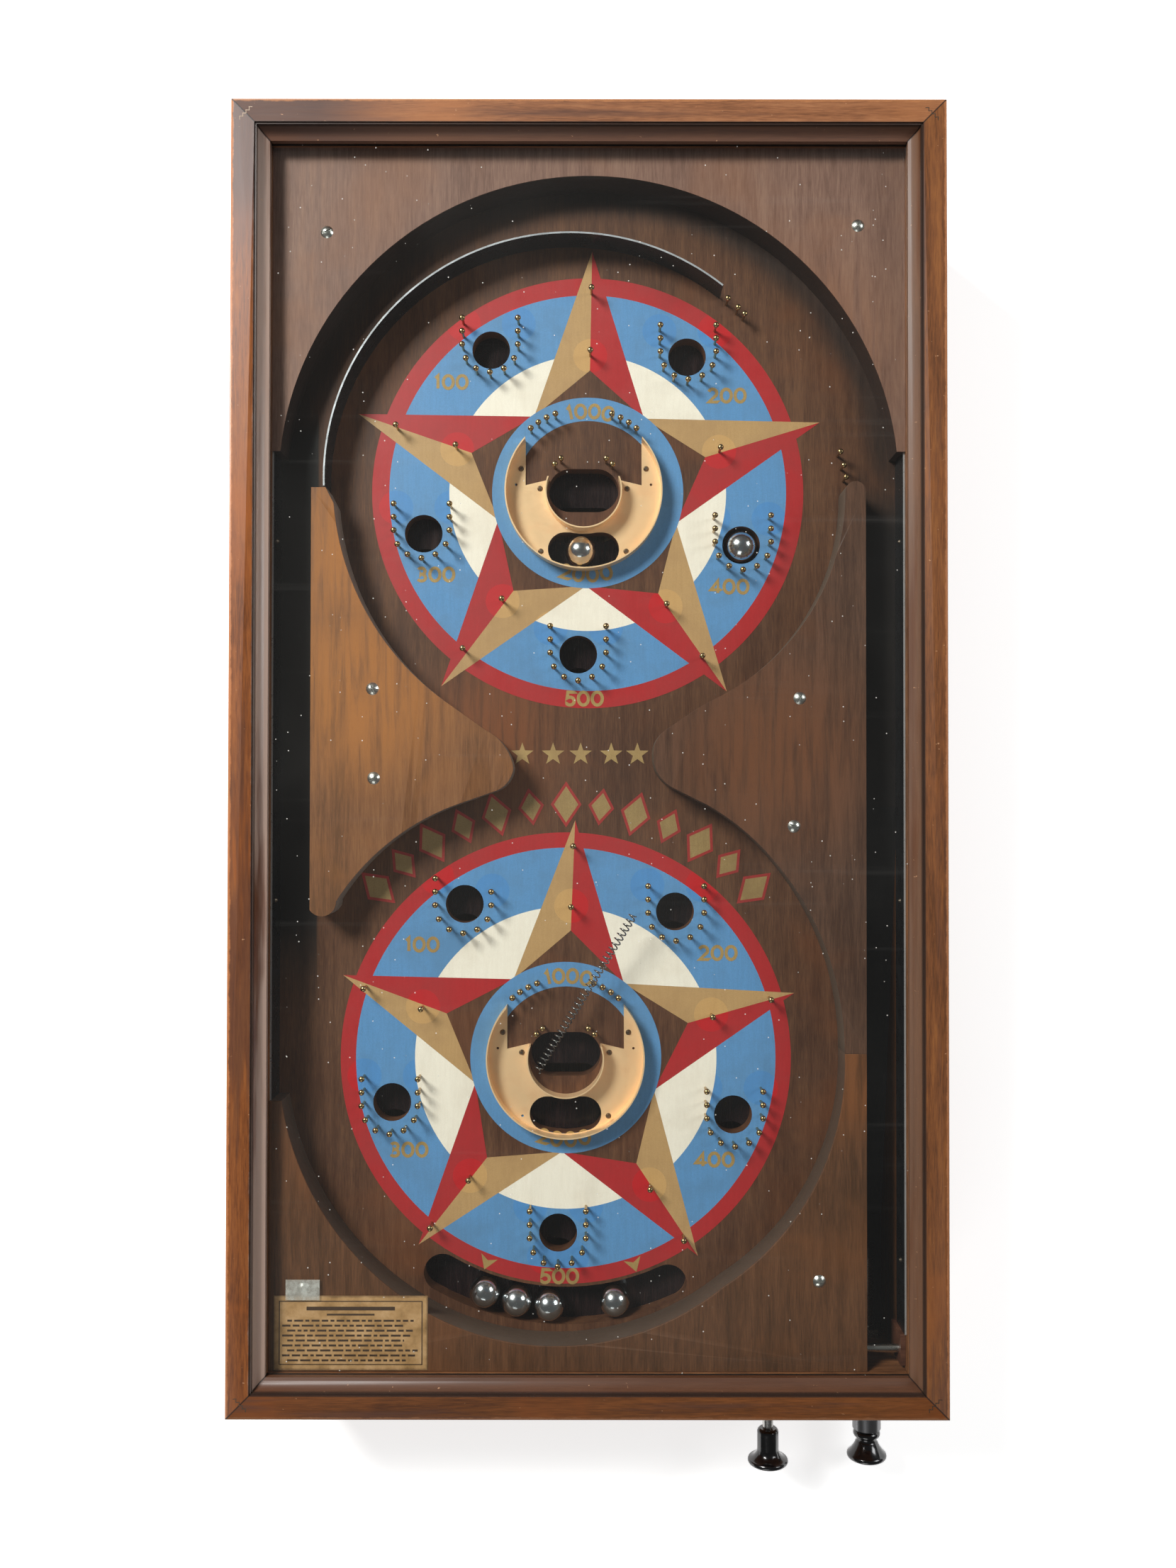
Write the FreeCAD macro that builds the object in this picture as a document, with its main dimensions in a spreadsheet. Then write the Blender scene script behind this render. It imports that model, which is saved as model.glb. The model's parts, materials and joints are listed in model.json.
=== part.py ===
import FreeCAD, Part
import math
import os

# Counter-top pin game: a glazed, sloping wooden cabinet with two ringed playfields, scoring holes,
# metal cups, a spring plunger and a sliding shutter that drops the balls onto the return board.
#
# Millimetres. The row frame has +Z up, +X to the player's right and +Y to the rear, with the origin
# at the centre of the underside of the base board. Nearly every piece is drawn in the table frame:
# the same directions turned by the slope about X, with the origin in the middle of the frame's top
# face, so that depths under the glass are negative heights. table_placement() turns it into place.

Vector = FreeCAD.Vector
Placement = FreeCAD.Placement
Rotation = FreeCAD.Rotation

SIZES = {
    # overall
    "frame_width": 416.0,
    "frame_length": 763.0,
    "front_height": 104.0,
    "slope": 3.5,
    # glazed lid
    "frame_depth": 18.0,
    "band_width": 14.0,
    "moulding_width": 21.0,
    "rebate_from_edge": 12.5,
    "rebate_depth": 12.0,
    "glass_thickness": 3.0,
    "glass_play": 0.3,
    "bead_width": 7.0,
    "bead_clear": 0.3,
    # cabinet
    "side_overhang": 4.0,
    "front_overhang": 3.5,
    "wall_thickness": 16.0,
    "rear_thickness": 19.5,
    "base_thickness": 6.0,
    # playfield and what stands on it
    "play_depth": 43.0,
    "play_thickness": 12.0,
    "block_headroom": 5.0,
    "lane_width": 23.5,
    "rail_thickness": 1.0,
    "rail_below_blocks": 2.0,
    "ball_diameter": 19.05,
    "hole_clearance": 3.95,
    "pin_diameter": 1.6,
    "pin_head": 3.6,
    "pin_height": 12.5,
    "pin_bite": 5.0,
    # places of the two rings, from the rear wall and from the front wall
    "upper_from_rear": 200.5,
    "lower_from_front": 180.0,
    "upper_ring_x": -0.5,
    "lower_ring_x": -13.4,
    "upper_hole_circle": 101.8,
    "lower_hole_circle": 108.7,
    # metal cups
    "cup_ball_play": 5.35,
    "collar_radius": 23.2,
    "cup_height": 11.0,
    "sheet_thickness": 0.8,
    # out tray
    "tray_inner": 138.4,
    "tray_clearance": 3.55,
    # shutter and return board
    "shutter_gap": 0.4,
    "shutter_thickness": 4.0,
    "shutter_travel": 18.5,
    "return_headroom": 8.55,
    "return_thickness": 3.0,
    # plunger
    "rod_diameter": 8.0,
    "barrel_diameter": 17.7,
    "barrel_bore": 13.4,
    "barrel_reach": 44.2,
    "plunger_travel": 48.0,
    "tip_diameter": 12.0,
    "fit_clearance": 0.06,
    # push rod
    "push_rod_diameter": 6.5,
    "push_rod_x": 111.1,
    "push_rod_reach": 34.0,
}

doc = FreeCAD.newDocument("PinGame")
sheet = doc.addObject("Spreadsheet::Sheet", "Sizes")
for row, (alias, number) in enumerate(SIZES.items(), start=1):
    sheet.set("A%d" % row, alias.replace("_", " "))
    sheet.set("B%d" % row, str(number))
    sheet.setAlias("B%d" % row, alias)
doc.recompute()


def size(alias):
    return float(sheet.get(alias))


# ---------------------------------------------------------------- places worked out from the sizes
SLOPE = math.radians(size("slope"))
HALF_FRAME_X = size("frame_width") / 2
HALF_FRAME_Y = size("frame_length") / 2
OUTER_X = HALF_FRAME_X - size("side_overhang")
INNER_X = OUTER_X - size("wall_thickness")
FRONT_OUTER = -HALF_FRAME_Y + size("front_overhang")
FRONT_INNER = FRONT_OUTER + size("wall_thickness")
REAR_OUTER = HALF_FRAME_Y
REAR_INNER = REAR_OUTER - size("rear_thickness")
WALL_TOP = -size("frame_depth")
PLAY_TOP = -size("play_depth")
PLAY_BOTTOM = PLAY_TOP - size("play_thickness")
BLOCK_TOP = -size("rebate_depth") - size("glass_thickness") - size("block_headroom")
BLOCK_THICKNESS = BLOCK_TOP - PLAY_TOP
BLOCK_RULE = "Sizes.play_depth - Sizes.rebate_depth - Sizes.glass_thickness - Sizes.block_headroom"
RAIL_HEIGHT = BLOCK_THICKNESS - size("rail_below_blocks")
RAIL_RULE = BLOCK_RULE + " - Sizes.rail_below_blocks"
LANE_EDGE = INNER_X - size("lane_width")
LANE_MIDDLE = INNER_X - size("lane_width") / 2
BALL_RADIUS = size("ball_diameter") / 2
HOLE_RADIUS = BALL_RADIUS + size("hole_clearance") / 2
TRAY_OUTER = size("tray_inner") + size("ball_diameter") + size("tray_clearance")
CUP_RADIUS = size("collar_radius") + size("ball_diameter") + size("cup_ball_play")
SHUTTER_TOP = PLAY_BOTTOM - size("shutter_gap")
SHUTTER_BOTTOM = SHUTTER_TOP - size("shutter_thickness")
RETURN_TOP = SHUTTER_BOTTOM - size("ball_diameter") - size("return_headroom")
RETURN_BOTTOM = RETURN_TOP - size("return_thickness")
LANE_STEP = 2.5
LANE_FLOOR = RETURN_TOP - LANE_STEP
PLUNGER_HEIGHT = LANE_FLOOR + BALL_RADIUS
UPPER = (size("upper_ring_x"), REAR_INNER - size("upper_from_rear"))
LOWER = (size("lower_ring_x"), FRONT_INNER + size("lower_from_front"))
MIDDLE_Y = (UPPER[1] + LOWER[1]) / 2 + 10.25
UPPER_HOLES = (UPPER[0] - 2.1, UPPER[1] + 3.0)
LOWER_HOLES = (LOWER[0] - 0.7, LOWER[1] + 2.9)
HOLE_ANGLES = [52 + 72 * step for step in range(5)]
UPPER_CUP = (UPPER[0] - 2.5, UPPER[1] - 0.3)
LOWER_CUP = (LOWER[0] - 0.1, LOWER[1] + 0.5)
LIFT = size("front_height") + HALF_FRAME_Y * math.sin(SLOPE)


def base_height(y):
    """Height, in the table frame, of the base board's upper face under a point of the table."""
    return (size("base_thickness") - LIFT - y * math.sin(SLOPE)) / math.cos(SLOPE)


def level_y(y, z):
    return y * math.cos(SLOPE) - z * math.sin(SLOPE)


BASE_FRONT = level_y(FRONT_OUTER, base_height(FRONT_OUTER))
BASE_REAR = level_y(REAR_OUTER, base_height(REAR_OUTER))
SHIFT = -(BASE_FRONT + BASE_REAR) / 2

parts = []


# ---------------------------------------------------------------- helpers
def keep(thing, label, sloped=True):
    """Name a finished sub-part and put it in place: most pieces lie in the sloping table frame."""
    thing.Label = label
    if sloped:
        turn = Rotation(Vector(1, 0, 0), size("slope"))
        thing.Placement = Placement(Vector(0, SHIFT, LIFT), turn)
        thing.setExpression("Placement.Rotation.Angle", "Sizes.slope")
    parts.append(thing)
    return thing


def add_body(name):
    return doc.addObject("PartDesign::Body", name)


def add_sketch(body, role, offset, geometry, offset_rule=None):
    """A sketch on one of the body's own origin planes, moved off it by offset in the plane's frame."""
    sketch = body.newObject("Sketcher::SketchObject", body.Name + "_sketch")
    plane = [item for item in body.Origin.OriginFeatures if item.Role == role][0]
    sketch.AttachmentSupport = [(plane, "")]
    sketch.MapMode = "FlatFace"
    sketch.AttachmentOffset = Placement(offset, Rotation())
    if offset_rule:
        sketch.setExpression("AttachmentOffset.Base.z", offset_rule)
    for item in geometry:
        sketch.addGeometry(item, False)
    return sketch


def outline(corners):
    """Closed outline: (x, y) starts a straight side, (x, y, mx, my) an arc through the point m."""
    sides = []
    for number, corner in enumerate(corners):
        following = corners[(number + 1) % len(corners)]
        start = Vector(corner[0], corner[1], 0)
        end = Vector(following[0], following[1], 0)
        if len(corner) == 4:
            sides.append(Part.Arc(start, Vector(corner[2], corner[3], 0), end))
        else:
            sides.append(Part.LineSegment(start, end))
    return sides


def circle(x, y, radius):
    return [Part.Circle(Vector(x, y, 0), Vector(0, 0, 1), radius)]


def stadium(x, y, length, height):
    """Slot with round ends, lying along X."""
    end = height / 2
    straight = length / 2 - end
    return outline([
        (x - straight, y - end),
        (x + straight, y - end, x + straight + end, y),
        (x + straight, y + end),
        (x - straight, y + end, x - straight - end, y),
    ])


def rectangle(x0, y0, x1, y1):
    return outline([(x0, y0), (x1, y0), (x1, y1), (x0, y1)])


def pad(body, sketch, length, rule=None):
    feature = body.newObject("PartDesign::Pad", body.Name + "_pad")
    feature.Profile = sketch
    feature.Length = length
    if rule:
        feature.setExpression("Length", rule)
    body.Tip = feature


def pocket(body, sketch, length):
    """Cuts against the sketch's normal and makes sure that something was removed."""
    doc.recompute()
    before = body.Shape.Volume
    feature = body.newObject("PartDesign::Pocket", body.Name + "_pocket")
    feature.Profile = sketch
    feature.Length = length
    body.Tip = feature
    doc.recompute()
    if body.Shape.Volume >= before - 1e-3:
        raise ValueError(body.Name + ": a pocket cut nothing")


def board(name, geometry, bottom, thickness, rule=None):
    """Flat piece lying in the table frame, drawn in plan."""
    body = add_body(name)
    sketch = add_sketch(body, "XY_Plane", Vector(0, 0, bottom), geometry)
    pad(body, sketch, thickness, rule)
    return keep(body, name)


def section_bar(name, corners, x_from, x_to):
    """Straight piece running across the table, drawn in section in the (y, z) plane."""
    body = add_body(name)
    sketch = add_sketch(body, "YZ_Plane", Vector(0, 0, x_from), outline(corners))
    pad(body, sketch, x_to - x_from)
    return body


def turned(name, x, z, profile):
    """Piece turned about a line along Y at (x, z), drawn as (y, radius)."""
    body = add_body(name)
    sketch = add_sketch(body, "YZ_Plane", Vector(0, z, x), outline(profile))
    feature = body.newObject("PartDesign::Revolution", name + "_turn")
    feature.Profile = sketch
    feature.ReferenceAxis = (sketch, ["H_Axis"])
    feature.Angle = 360
    body.Tip = feature
    return keep(body, name)


def box(x0, y0, z0, x1, y1, z1):
    return Part.makeBox(x1 - x0, y1 - y0, z1 - z0, Vector(x0, y0, z0))


def tube(radius, bore, length, base, direction=Vector(0, 0, 1)):
    outside = Part.makeCylinder(radius, length, base, direction)
    return outside.cut(Part.makeCylinder(bore, length, base, direction))


def shape_part(name, shape):
    feature = doc.addObject("Part::Feature", name)
    feature.Shape = shape
    return keep(feature, name)


def on_circle(centre, radius, degrees):
    turn = math.radians(degrees)
    return (centre[0] + radius * math.cos(turn), centre[1] + radius * math.sin(turn))


def shifted(points, centre):
    """Outline corners given from a ring's centre, moved into the table frame."""
    moved = []
    for point in points:
        pairs = [(point[i] + centre[0], point[i + 1] + centre[1]) for i in range(0, len(point), 2)]
        moved.append(tuple(number for pair in pairs for number in pair))
    return moved


# ---------------------------------------------------------------- cabinet
def base_board():
    body = add_body("base_board")
    sketch = add_sketch(body, "XY_Plane", Vector(0, 0, 0),
                        rectangle(-OUTER_X, BASE_FRONT + SHIFT, OUTER_X, BASE_REAR + SHIFT))
    pad(body, sketch, size("base_thickness"), "Sizes.base_thickness")
    keep(body, "base_board", sloped=False)


def side_panel(name, x_from, x_to):
    corners = [
        (FRONT_OUTER, WALL_TOP),
        (REAR_OUTER, WALL_TOP),
        (REAR_OUTER, base_height(REAR_OUTER)),
        (FRONT_OUTER, base_height(FRONT_OUTER)),
    ]
    keep(section_bar(name, corners, x_from, x_to), name)


def end_panel(name, y_from, y_to):
    corners = [
        (y_from, WALL_TOP),
        (y_to, WALL_TOP),
        (y_to, base_height(y_to)),
        (y_from, base_height(y_from)),
    ]
    return section_bar(name, corners, -INNER_X, INNER_X)


BUSHING_RADIUS = 5.0
PUSH_ROD_HEIGHT = PLAY_BOTTOM - size("push_rod_diameter") / 2 - 0.4


def front_panel():
    """Front wall, bored for the plunger barrel and for the push rod's bushing."""
    body = end_panel("front_panel", FRONT_OUTER, FRONT_INNER)
    play = size("fit_clearance")
    bores = circle(LANE_MIDDLE, PLUNGER_HEIGHT, size("barrel_diameter") / 2 + play)
    bores += circle(size("push_rod_x"), PUSH_ROD_HEIGHT, BUSHING_RADIUS + play)
    sketch = add_sketch(body, "XZ_Plane", Vector(0, 0, -FRONT_OUTER), bores)
    pocket(body, sketch, size("wall_thickness"))
    keep(body, "front_panel")


def cabinet():
    base_board()
    side_panel("left_side_panel", -OUTER_X, -INNER_X)
    side_panel("right_side_panel", INNER_X, OUTER_X)
    front_panel()
    keep(end_panel("rear_panel", REAR_INNER, REAR_OUTER), "rear_panel")


# ---------------------------------------------------------------- playfield board
SHOOTER_SLOT_END = LOWER[1] + 152.0
SLOT_SIDE = LANE_EDGE + 0.3
CUP_HOLE_TOP = (0.0, 1.7, 42.6, 26.4)
CUP_HOLE_BOTTOM = (0.0, 0.8 - (CUP_RADIUS + size("collar_radius")) / 2, 43.3,
                   CUP_RADIUS - size("collar_radius") - 3.0)
TRAY_ANGLES = (-119.8, -65.5)


def hole_places():
    upper = [on_circle(UPPER_HOLES, size("upper_hole_circle"), angle) for angle in HOLE_ANGLES]
    lower = [on_circle(LOWER_HOLES, size("lower_hole_circle"), angle) for angle in HOLE_ANGLES]
    return upper, lower


def cup_lower_hole(cup):
    """The 2000 hole: a slot whose front side follows the cup wall and whose rear side the collar."""
    x, y, length, height = CUP_HOLE_BOTTOM
    end = height / 2
    straight = length / 2 - end
    wall = CUP_RADIUS - size("sheet_thickness") - 0.4
    foot = straight + 4.5
    foot_y = -math.sqrt(wall ** 2 - foot ** 2)
    top = y + end
    notch = size("collar_radius") * 0.35
    points = [
        (-foot, foot_y, 0.0, -wall),
        (foot, foot_y, straight + end, y + 1.0),
        (straight, top),
        (notch, top, 0.0, -size("collar_radius") - 1.6),
        (-notch, top),
        (-straight, top, -straight - end, y + 1.0),
    ]
    return outline(shifted(points, cup))


def cup_upper_hole(cup):
    x, y, length, height = CUP_HOLE_TOP
    return stadium(cup[0] + x, cup[1] + y, length, height)


def tray_slot():
    """Banana-shaped out slot round the lower ring, with round ends."""
    inner = size("tray_inner")
    outer = TRAY_OUTER
    middle = (inner + outer) / 2
    start, end = TRAY_ANGLES
    half_turn = math.degrees((outer - inner) / 2 / middle)
    centre_angle = (start + end) / 2
    return outline([
        on_circle(LOWER, outer, start) + on_circle(LOWER, outer, centre_angle),
        on_circle(LOWER, outer, end) + on_circle(LOWER, middle, end + half_turn),
        on_circle(LOWER, inner, end) + on_circle(LOWER, inner, centre_angle),
        on_circle(LOWER, inner, start) + on_circle(LOWER, middle, start - half_turn),
    ])


def playfield_board():
    plate = [
        (-INNER_X, FRONT_INNER),
        (SLOT_SIDE, FRONT_INNER),
        (SLOT_SIDE, SHOOTER_SLOT_END),
        (INNER_X, SHOOTER_SLOT_END),
        (INNER_X, REAR_INNER),
        (-INNER_X, REAR_INNER),
    ]
    geometry = outline(plate)
    upper, lower = hole_places()
    for x, y in upper + lower:
        geometry += circle(x, y, HOLE_RADIUS)
    for cup in (UPPER_CUP, LOWER_CUP):
        geometry += cup_upper_hole(cup)
        geometry += cup_lower_hole(cup)
    geometry += tray_slot()
    board("playfield_board", geometry, PLAY_BOTTOM, size("play_thickness"), "Sizes.play_thickness")


# ---------------------------------------------------------------- wooden blocks on the playfield
ARCH_CROWN = 16.5
ARCH_FOOT = 5.04
ARCH_END = 19.5
TAIL_TOP = 6.6
ISLAND_TAIL = 12.9


def block(name, corners):
    board(name, outline(corners), PLAY_TOP, BLOCK_THICKNESS, BLOCK_RULE)


def arch_block():
    foot = INNER_X - ARCH_FOOT
    end_y = UPPER[1] + ARCH_END
    block("arch_block", [
        (-INNER_X, end_y),
        (-foot, end_y, 0.0, REAR_INNER - ARCH_CROWN),
        (foot, end_y),
        (INNER_X, end_y),
        (INNER_X, REAR_INNER),
        (-INNER_X, REAR_INNER),
    ])


def left_island():
    """Left lane divider: concave towards both rings, with a round nose at the neck between them."""
    upper_side = shifted([(-155.5, -2.0), (-150.7, -11.5, -128.3, -81.2), (-81.0, -131.4)], UPPER)
    nose = shifted([
        (-60.8, 15.4, -49.0, 5.1),
        (-44.3, -6.5, -47.8, -15.6),
        (-56.3, -21.1),
    ], (0.0, MIDDLE_Y))
    lower_side = shifted([(-62.1, 154.2, -109.1, 126.9), (-135.5, 96.0, -144.0, 87.2)], LOWER)
    block("left_island", [(-LANE_EDGE, UPPER[1] - 2.0)] + upper_side + nose + lower_side
          + [(-LANE_EDGE, LOWER[1] + 91.0)])


def right_island():
    """Right lane divider, which ends on the bottom block's tail."""
    tail_x = LANE_EDGE - ISLAND_TAIL
    upper_side = shifted([(153.0, -4.0, 159.3, 2.0)], UPPER)
    lower_side = shifted([(154.9, 66.2, 123.5, 120.0)], LOWER)
    nose = shifted([
        (50.0, -18.5, 41.0, -9.5),
        (38.7, 0.0, 41.0, 10.5),
        (47.1, 16.4),
        (65.0, 28.6),
    ], (0.0, MIDDLE_Y))
    block("right_island", upper_side
          + [(LANE_EDGE, UPPER[1] - 4.0), (LANE_EDGE, LOWER[1] + TAIL_TOP)]
          + [(tail_x, LOWER[1] + TAIL_TOP) + on_circle(LOWER, 168.6, 24.0)]
          + [on_circle(LOWER, 172.6, 45.5) + on_circle(LOWER, 174.0, 53.0)]
          + [on_circle(LOWER, 174.8, 61.2)]
          + nose
          + [(83.6 + UPPER[0], UPPER[1] - 123.2, 131.7 + UPPER[0], UPPER[1] - 77.2)])


def bottom_block():
    """Front block: a shallow bowl under the lower ring, with a tail beside the shooter lane."""
    tail_x = LANE_EDGE - ISLAND_TAIL
    bowl = shifted([
        (-167.2, -21.4, -138.5, -93.3),
        (-84.2, -143.9, 8.5, -164.6),
        (93.7, -129.9, 136.9, -88.4),
    ], LOWER)
    block("bottom_block", [(-INNER_X, LOWER[1] - 21.4)] + bowl
          + [(tail_x, LOWER[1] + TAIL_TOP), (LANE_EDGE, LOWER[1] + TAIL_TOP)]
          + [(LANE_EDGE, FRONT_INNER), (-INNER_X, FRONT_INNER)])


def wooden_blocks():
    arch_block()
    left_island()
    right_island()
    bottom_block()


# ---------------------------------------------------------------- rails and strips
RAIL_CENTRE = (-10.5, 4.6)
RAIL_RADIUS = 147.0
STRIP_NAIL_HEAD = 3.2
STRIP_NAIL_LENGTH = 8.0


def curved_rail():
    """Spring-steel strip on edge that carries the ball over the upper ring."""
    centre = (UPPER[0] + RAIL_CENTRE[0], UPPER[1] + RAIL_CENTRE[1])
    inside = RAIL_RADIUS - size("rail_thickness")
    geometry = outline([
        on_circle(centre, RAIL_RADIUS, 182.0) + on_circle(centre, RAIL_RADIUS, 118.0),
        on_circle(centre, RAIL_RADIUS, 51.6),
        on_circle(centre, inside, 51.6) + on_circle(centre, inside, 118.0),
        on_circle(centre, inside, 182.0),
    ])
    board("curved_rail", geometry, PLAY_TOP, RAIL_HEIGHT, RAIL_RULE)


def lane_strips():
    """Steel strips on edge against the cabinet walls, facing the two lanes."""
    thick = size("rail_thickness")
    rear_end = UPPER[1] + ARCH_END
    right_end = FRONT_INNER + 21.0
    left_end = LOWER[1] - 21.4
    board("left_lane_strip", rectangle(-INNER_X, left_end, -INNER_X + thick, rear_end),
          PLAY_TOP, RAIL_HEIGHT, RAIL_RULE)
    board("right_lane_strip", rectangle(INNER_X - thick, right_end, INNER_X, rear_end),
          PLAY_TOP, RAIL_HEIGHT, RAIL_RULE)


def round_nail(place, direction, head, length):
    """Small nail with a domed head, driven along -direction from a face at place."""
    shaft = Part.makeCylinder(head * 0.25, length, place, direction * -1)
    dome = Part.makeCone(head * 0.5, head * 0.25, head * 0.35, place, direction)
    return shaft.fuse(dome)


def strip_nails():
    """Nails that hold the lane strips to the cabinet walls."""
    height = PLAY_TOP + RAIL_HEIGHT * 0.55
    thick = size("rail_thickness")
    nails = []
    places = [UPPER[1] - 32.0, LOWER[1] + 96.0]
    for y in places + [FRONT_INNER + 62.0]:
        nails.append(round_nail(Vector(INNER_X - thick, y, height), Vector(-1, 0, 0),
                                STRIP_NAIL_HEAD, STRIP_NAIL_LENGTH))
    for y in places:
        nails.append(round_nail(Vector(-INNER_X + thick, y, height), Vector(1, 0, 0),
                                STRIP_NAIL_HEAD, STRIP_NAIL_LENGTH))
    return nails


# ---------------------------------------------------------------- scoring pins
def pin_shape():
    """Pin with a domed head, standing on the playfield with its point driven in."""
    shaft = size("pin_diameter") / 2
    head = size("pin_head") / 2
    top = size("pin_height")
    neck = top - 0.75 * head
    bite = -size("pin_bite")
    crown = 0.25 * head
    wire = Part.Wire([
        Part.makeLine(Vector(0, 0, bite), Vector(shaft, 0, bite)),
        Part.makeLine(Vector(shaft, 0, bite), Vector(shaft, 0, neck)),
        Part.makeLine(Vector(shaft, 0, neck), Vector(head, 0, neck)),
        Part.Arc(Vector(head, 0, neck), Vector(head * 0.72, 0, neck + head * 0.55),
                 Vector(crown, 0, top)).toShape(),
        Part.makeLine(Vector(crown, 0, top), Vector(0, 0, top)),
        Part.makeLine(Vector(0, 0, top), Vector(0, 0, bite)),
    ])
    return Part.Face(wire).revolve(Vector(0, 0, 0), Vector(0, 0, 1), 360)


def pins_round_hole(place, missing=()):
    """U of eleven pins, open to the rear."""
    reach = HOLE_RADIUS + 5.3
    spots = []
    for side in (-1, 1):
        spots += [(side * reach, 16.0), (side * reach, 8.0), (side * reach, 0.0)]
    spots += [on_circle((0.0, 0.0), reach, angle) for angle in (-150, -120, -90, -60, -30)]
    return [(place[0] + x, place[1] + y) for n, (x, y) in enumerate(spots) if n not in missing]


def cup_pins(cup):
    outer = CUP_RADIUS + 0.4 + size("pin_diameter") / 2
    inner = size("collar_radius")
    spots = []
    for side in (-1, 1):
        spots += [on_circle(cup, outer, 90 + side * (20.4 + 6.77 * step)) for step in range(4)]
        spots += [on_circle(cup, inner, 90 + side * angle) for angle in (36.0, 48.5)]
    return spots


def pin_group(name, spots):
    pin = pin_shape()
    copies = []
    for x, y in spots:
        copy = pin.copy()
        copy.translate(Vector(x, y, PLAY_TOP))
        copies.append(copy)
    shape_part(name, Part.makeCompound(copies))


def scoring_pins():
    upper, lower = hole_places()
    upper_spots = cup_pins(UPPER_CUP)
    lower_spots = cup_pins(LOWER_CUP)
    for number in range(5):
        upper_spots += pins_round_hole(upper[number])
        lower_spots += pins_round_hole(lower[number], (3,) if number == 1 else ())
    for number, angle in enumerate((89.0, 161.5, 232.0, 304.5, 17.5)):
        upper_spots.append(on_circle(UPPER, 84.0, angle))
        if number < 4:
            upper_spots.append(on_circle(UPPER, 122.0, angle))
        lower_spots.append(on_circle(LOWER, 92.0, angle - 1.0))
        lower_spots.append(on_circle(LOWER, 128.5, angle - 1.0))
    rail = (UPPER[0] + RAIL_CENTRE[0], UPPER[1] + RAIL_CENTRE[1])
    upper_spots += [on_circle(rail, RAIL_RADIUS - 1.0, angle) for angle in (49.4, 46.2, 44.0)]
    upper_spots += [(UPPER[0] + x, UPPER[1] + y) for x, y in ((152.2, 22.6), (154.3, 14.5), (155.6, 7.3))]
    pin_group("upper_pins", upper_spots)
    pin_group("lower_pins", lower_spots)


# ---------------------------------------------------------------- cups
HORN_X = 35.0
HORN_FOOT = (35.4, 4.8)
COLLAR_JOIN = (22.0, 8.0)
NAIL_SPOTS = ((38.1, 14.9), (26.5, 2.7), (26.0, -35.6))
SPARE_HOLE = (41.1, 5.2)


def cup_mouth(cup, height):
    """Solid that cuts the rear opening between the cup's two horns."""
    far = CUP_RADIUS * 2
    points = [
        (-HORN_X, far), (-HORN_FOOT[0], HORN_FOOT[1]), (-COLLAR_JOIN[0], COLLAR_JOIN[1]),
        (COLLAR_JOIN[0], COLLAR_JOIN[1]), (HORN_FOOT[0], HORN_FOOT[1]), (HORN_X, far),
    ]
    corners = [Vector(cup[0] + x, cup[1] + y, PLAY_TOP - 1) for x, y in points]
    face = Part.Face(Part.makePolygon(corners + corners[:1]))
    return face.extrude(Vector(0, 0, height))


def cup(name, centre, missing_nail):
    """Stamped cup: a C-shaped floor with a rim wall, open to the rear between two pointed horns."""
    thick = size("sheet_thickness")
    radius = CUP_RADIUS
    height = size("cup_height")
    middle = Vector(centre[0], centre[1], PLAY_TOP)
    floor = tube(radius, size("collar_radius"), thick, middle)
    wall = tube(radius, radius - thick, height, middle)
    shape = floor.fuse(wall)
    shape = shape.cut(cup_mouth(centre, height + 2))
    outer_hole = Part.Face(Part.Wire([g.toShape() for g in cup_lower_hole(centre)]))
    outer_hole.translate(Vector(0, 0, PLAY_TOP - 1))
    shape = shape.cut(outer_hole.extrude(Vector(0, 0, thick + 1.5)))
    spots = [(side * x, y) for x, y in NAIL_SPOTS for side in (-1, 1)]
    drilled = [(side * SPARE_HOLE[0], SPARE_HOLE[1]) for side in (-1, 1)]
    if missing_nail:
        drilled.append((-NAIL_SPOTS[2][0], NAIL_SPOTS[2][1]))
        spots.remove((-NAIL_SPOTS[2][0], NAIL_SPOTS[2][1]))
    for x, y in drilled:
        shape = shape.cut(Part.makeCylinder(0.8, 6, middle + Vector(x, y, -1)))
    shape_part(name, shape.removeSplitter())
    return [Vector(centre[0] + x, centre[1] + y, PLAY_TOP + thick) for x, y in spots]


def collar(name, centre):
    """Sheet ring standing inside the cup round the inner hole, open to the rear."""
    thick = size("sheet_thickness")
    radius = size("collar_radius")
    height = size("cup_height")
    middle = Vector(centre[0], centre[1], PLAY_TOP)
    ring = tube(radius, radius - thick, height, middle)
    shape_part(name, ring.cut(cup_mouth(centre, height + 2)))


def cups():
    heads = cup("upper_cup", UPPER_CUP, False) + cup("lower_cup", LOWER_CUP, True)
    collar("upper_cup_collar", UPPER_CUP)
    collar("lower_cup_collar", LOWER_CUP)
    return [round_nail(place, Vector(0, 0, 1), 3.4, 6.0) for place in heads]


# ---------------------------------------------------------------- screws in the blocks
def slotted_screw(x, y, turn):
    """Round-headed slotted wood screw, standing in a block."""
    head = 3.7
    dome = Part.makeSphere(5.2, Vector(x, y, BLOCK_TOP - 3.6))
    cap = dome.common(box(x - 9, y - 9, BLOCK_TOP, x + 9, y + 9, BLOCK_TOP + 5))
    slot = box(-5, -0.45, 0.7, 5, 0.45, 5)
    slot.rotate(Vector(0, 0, 0), Vector(0, 0, 1), turn)
    slot.translate(Vector(x, y, BLOCK_TOP))
    shank = Part.makeCylinder(head * 0.5, BLOCK_THICKNESS * 0.7,
                              Vector(x, y, BLOCK_TOP), Vector(0, 0, -1))
    return cap.cut(slot).fuse(shank)


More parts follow.
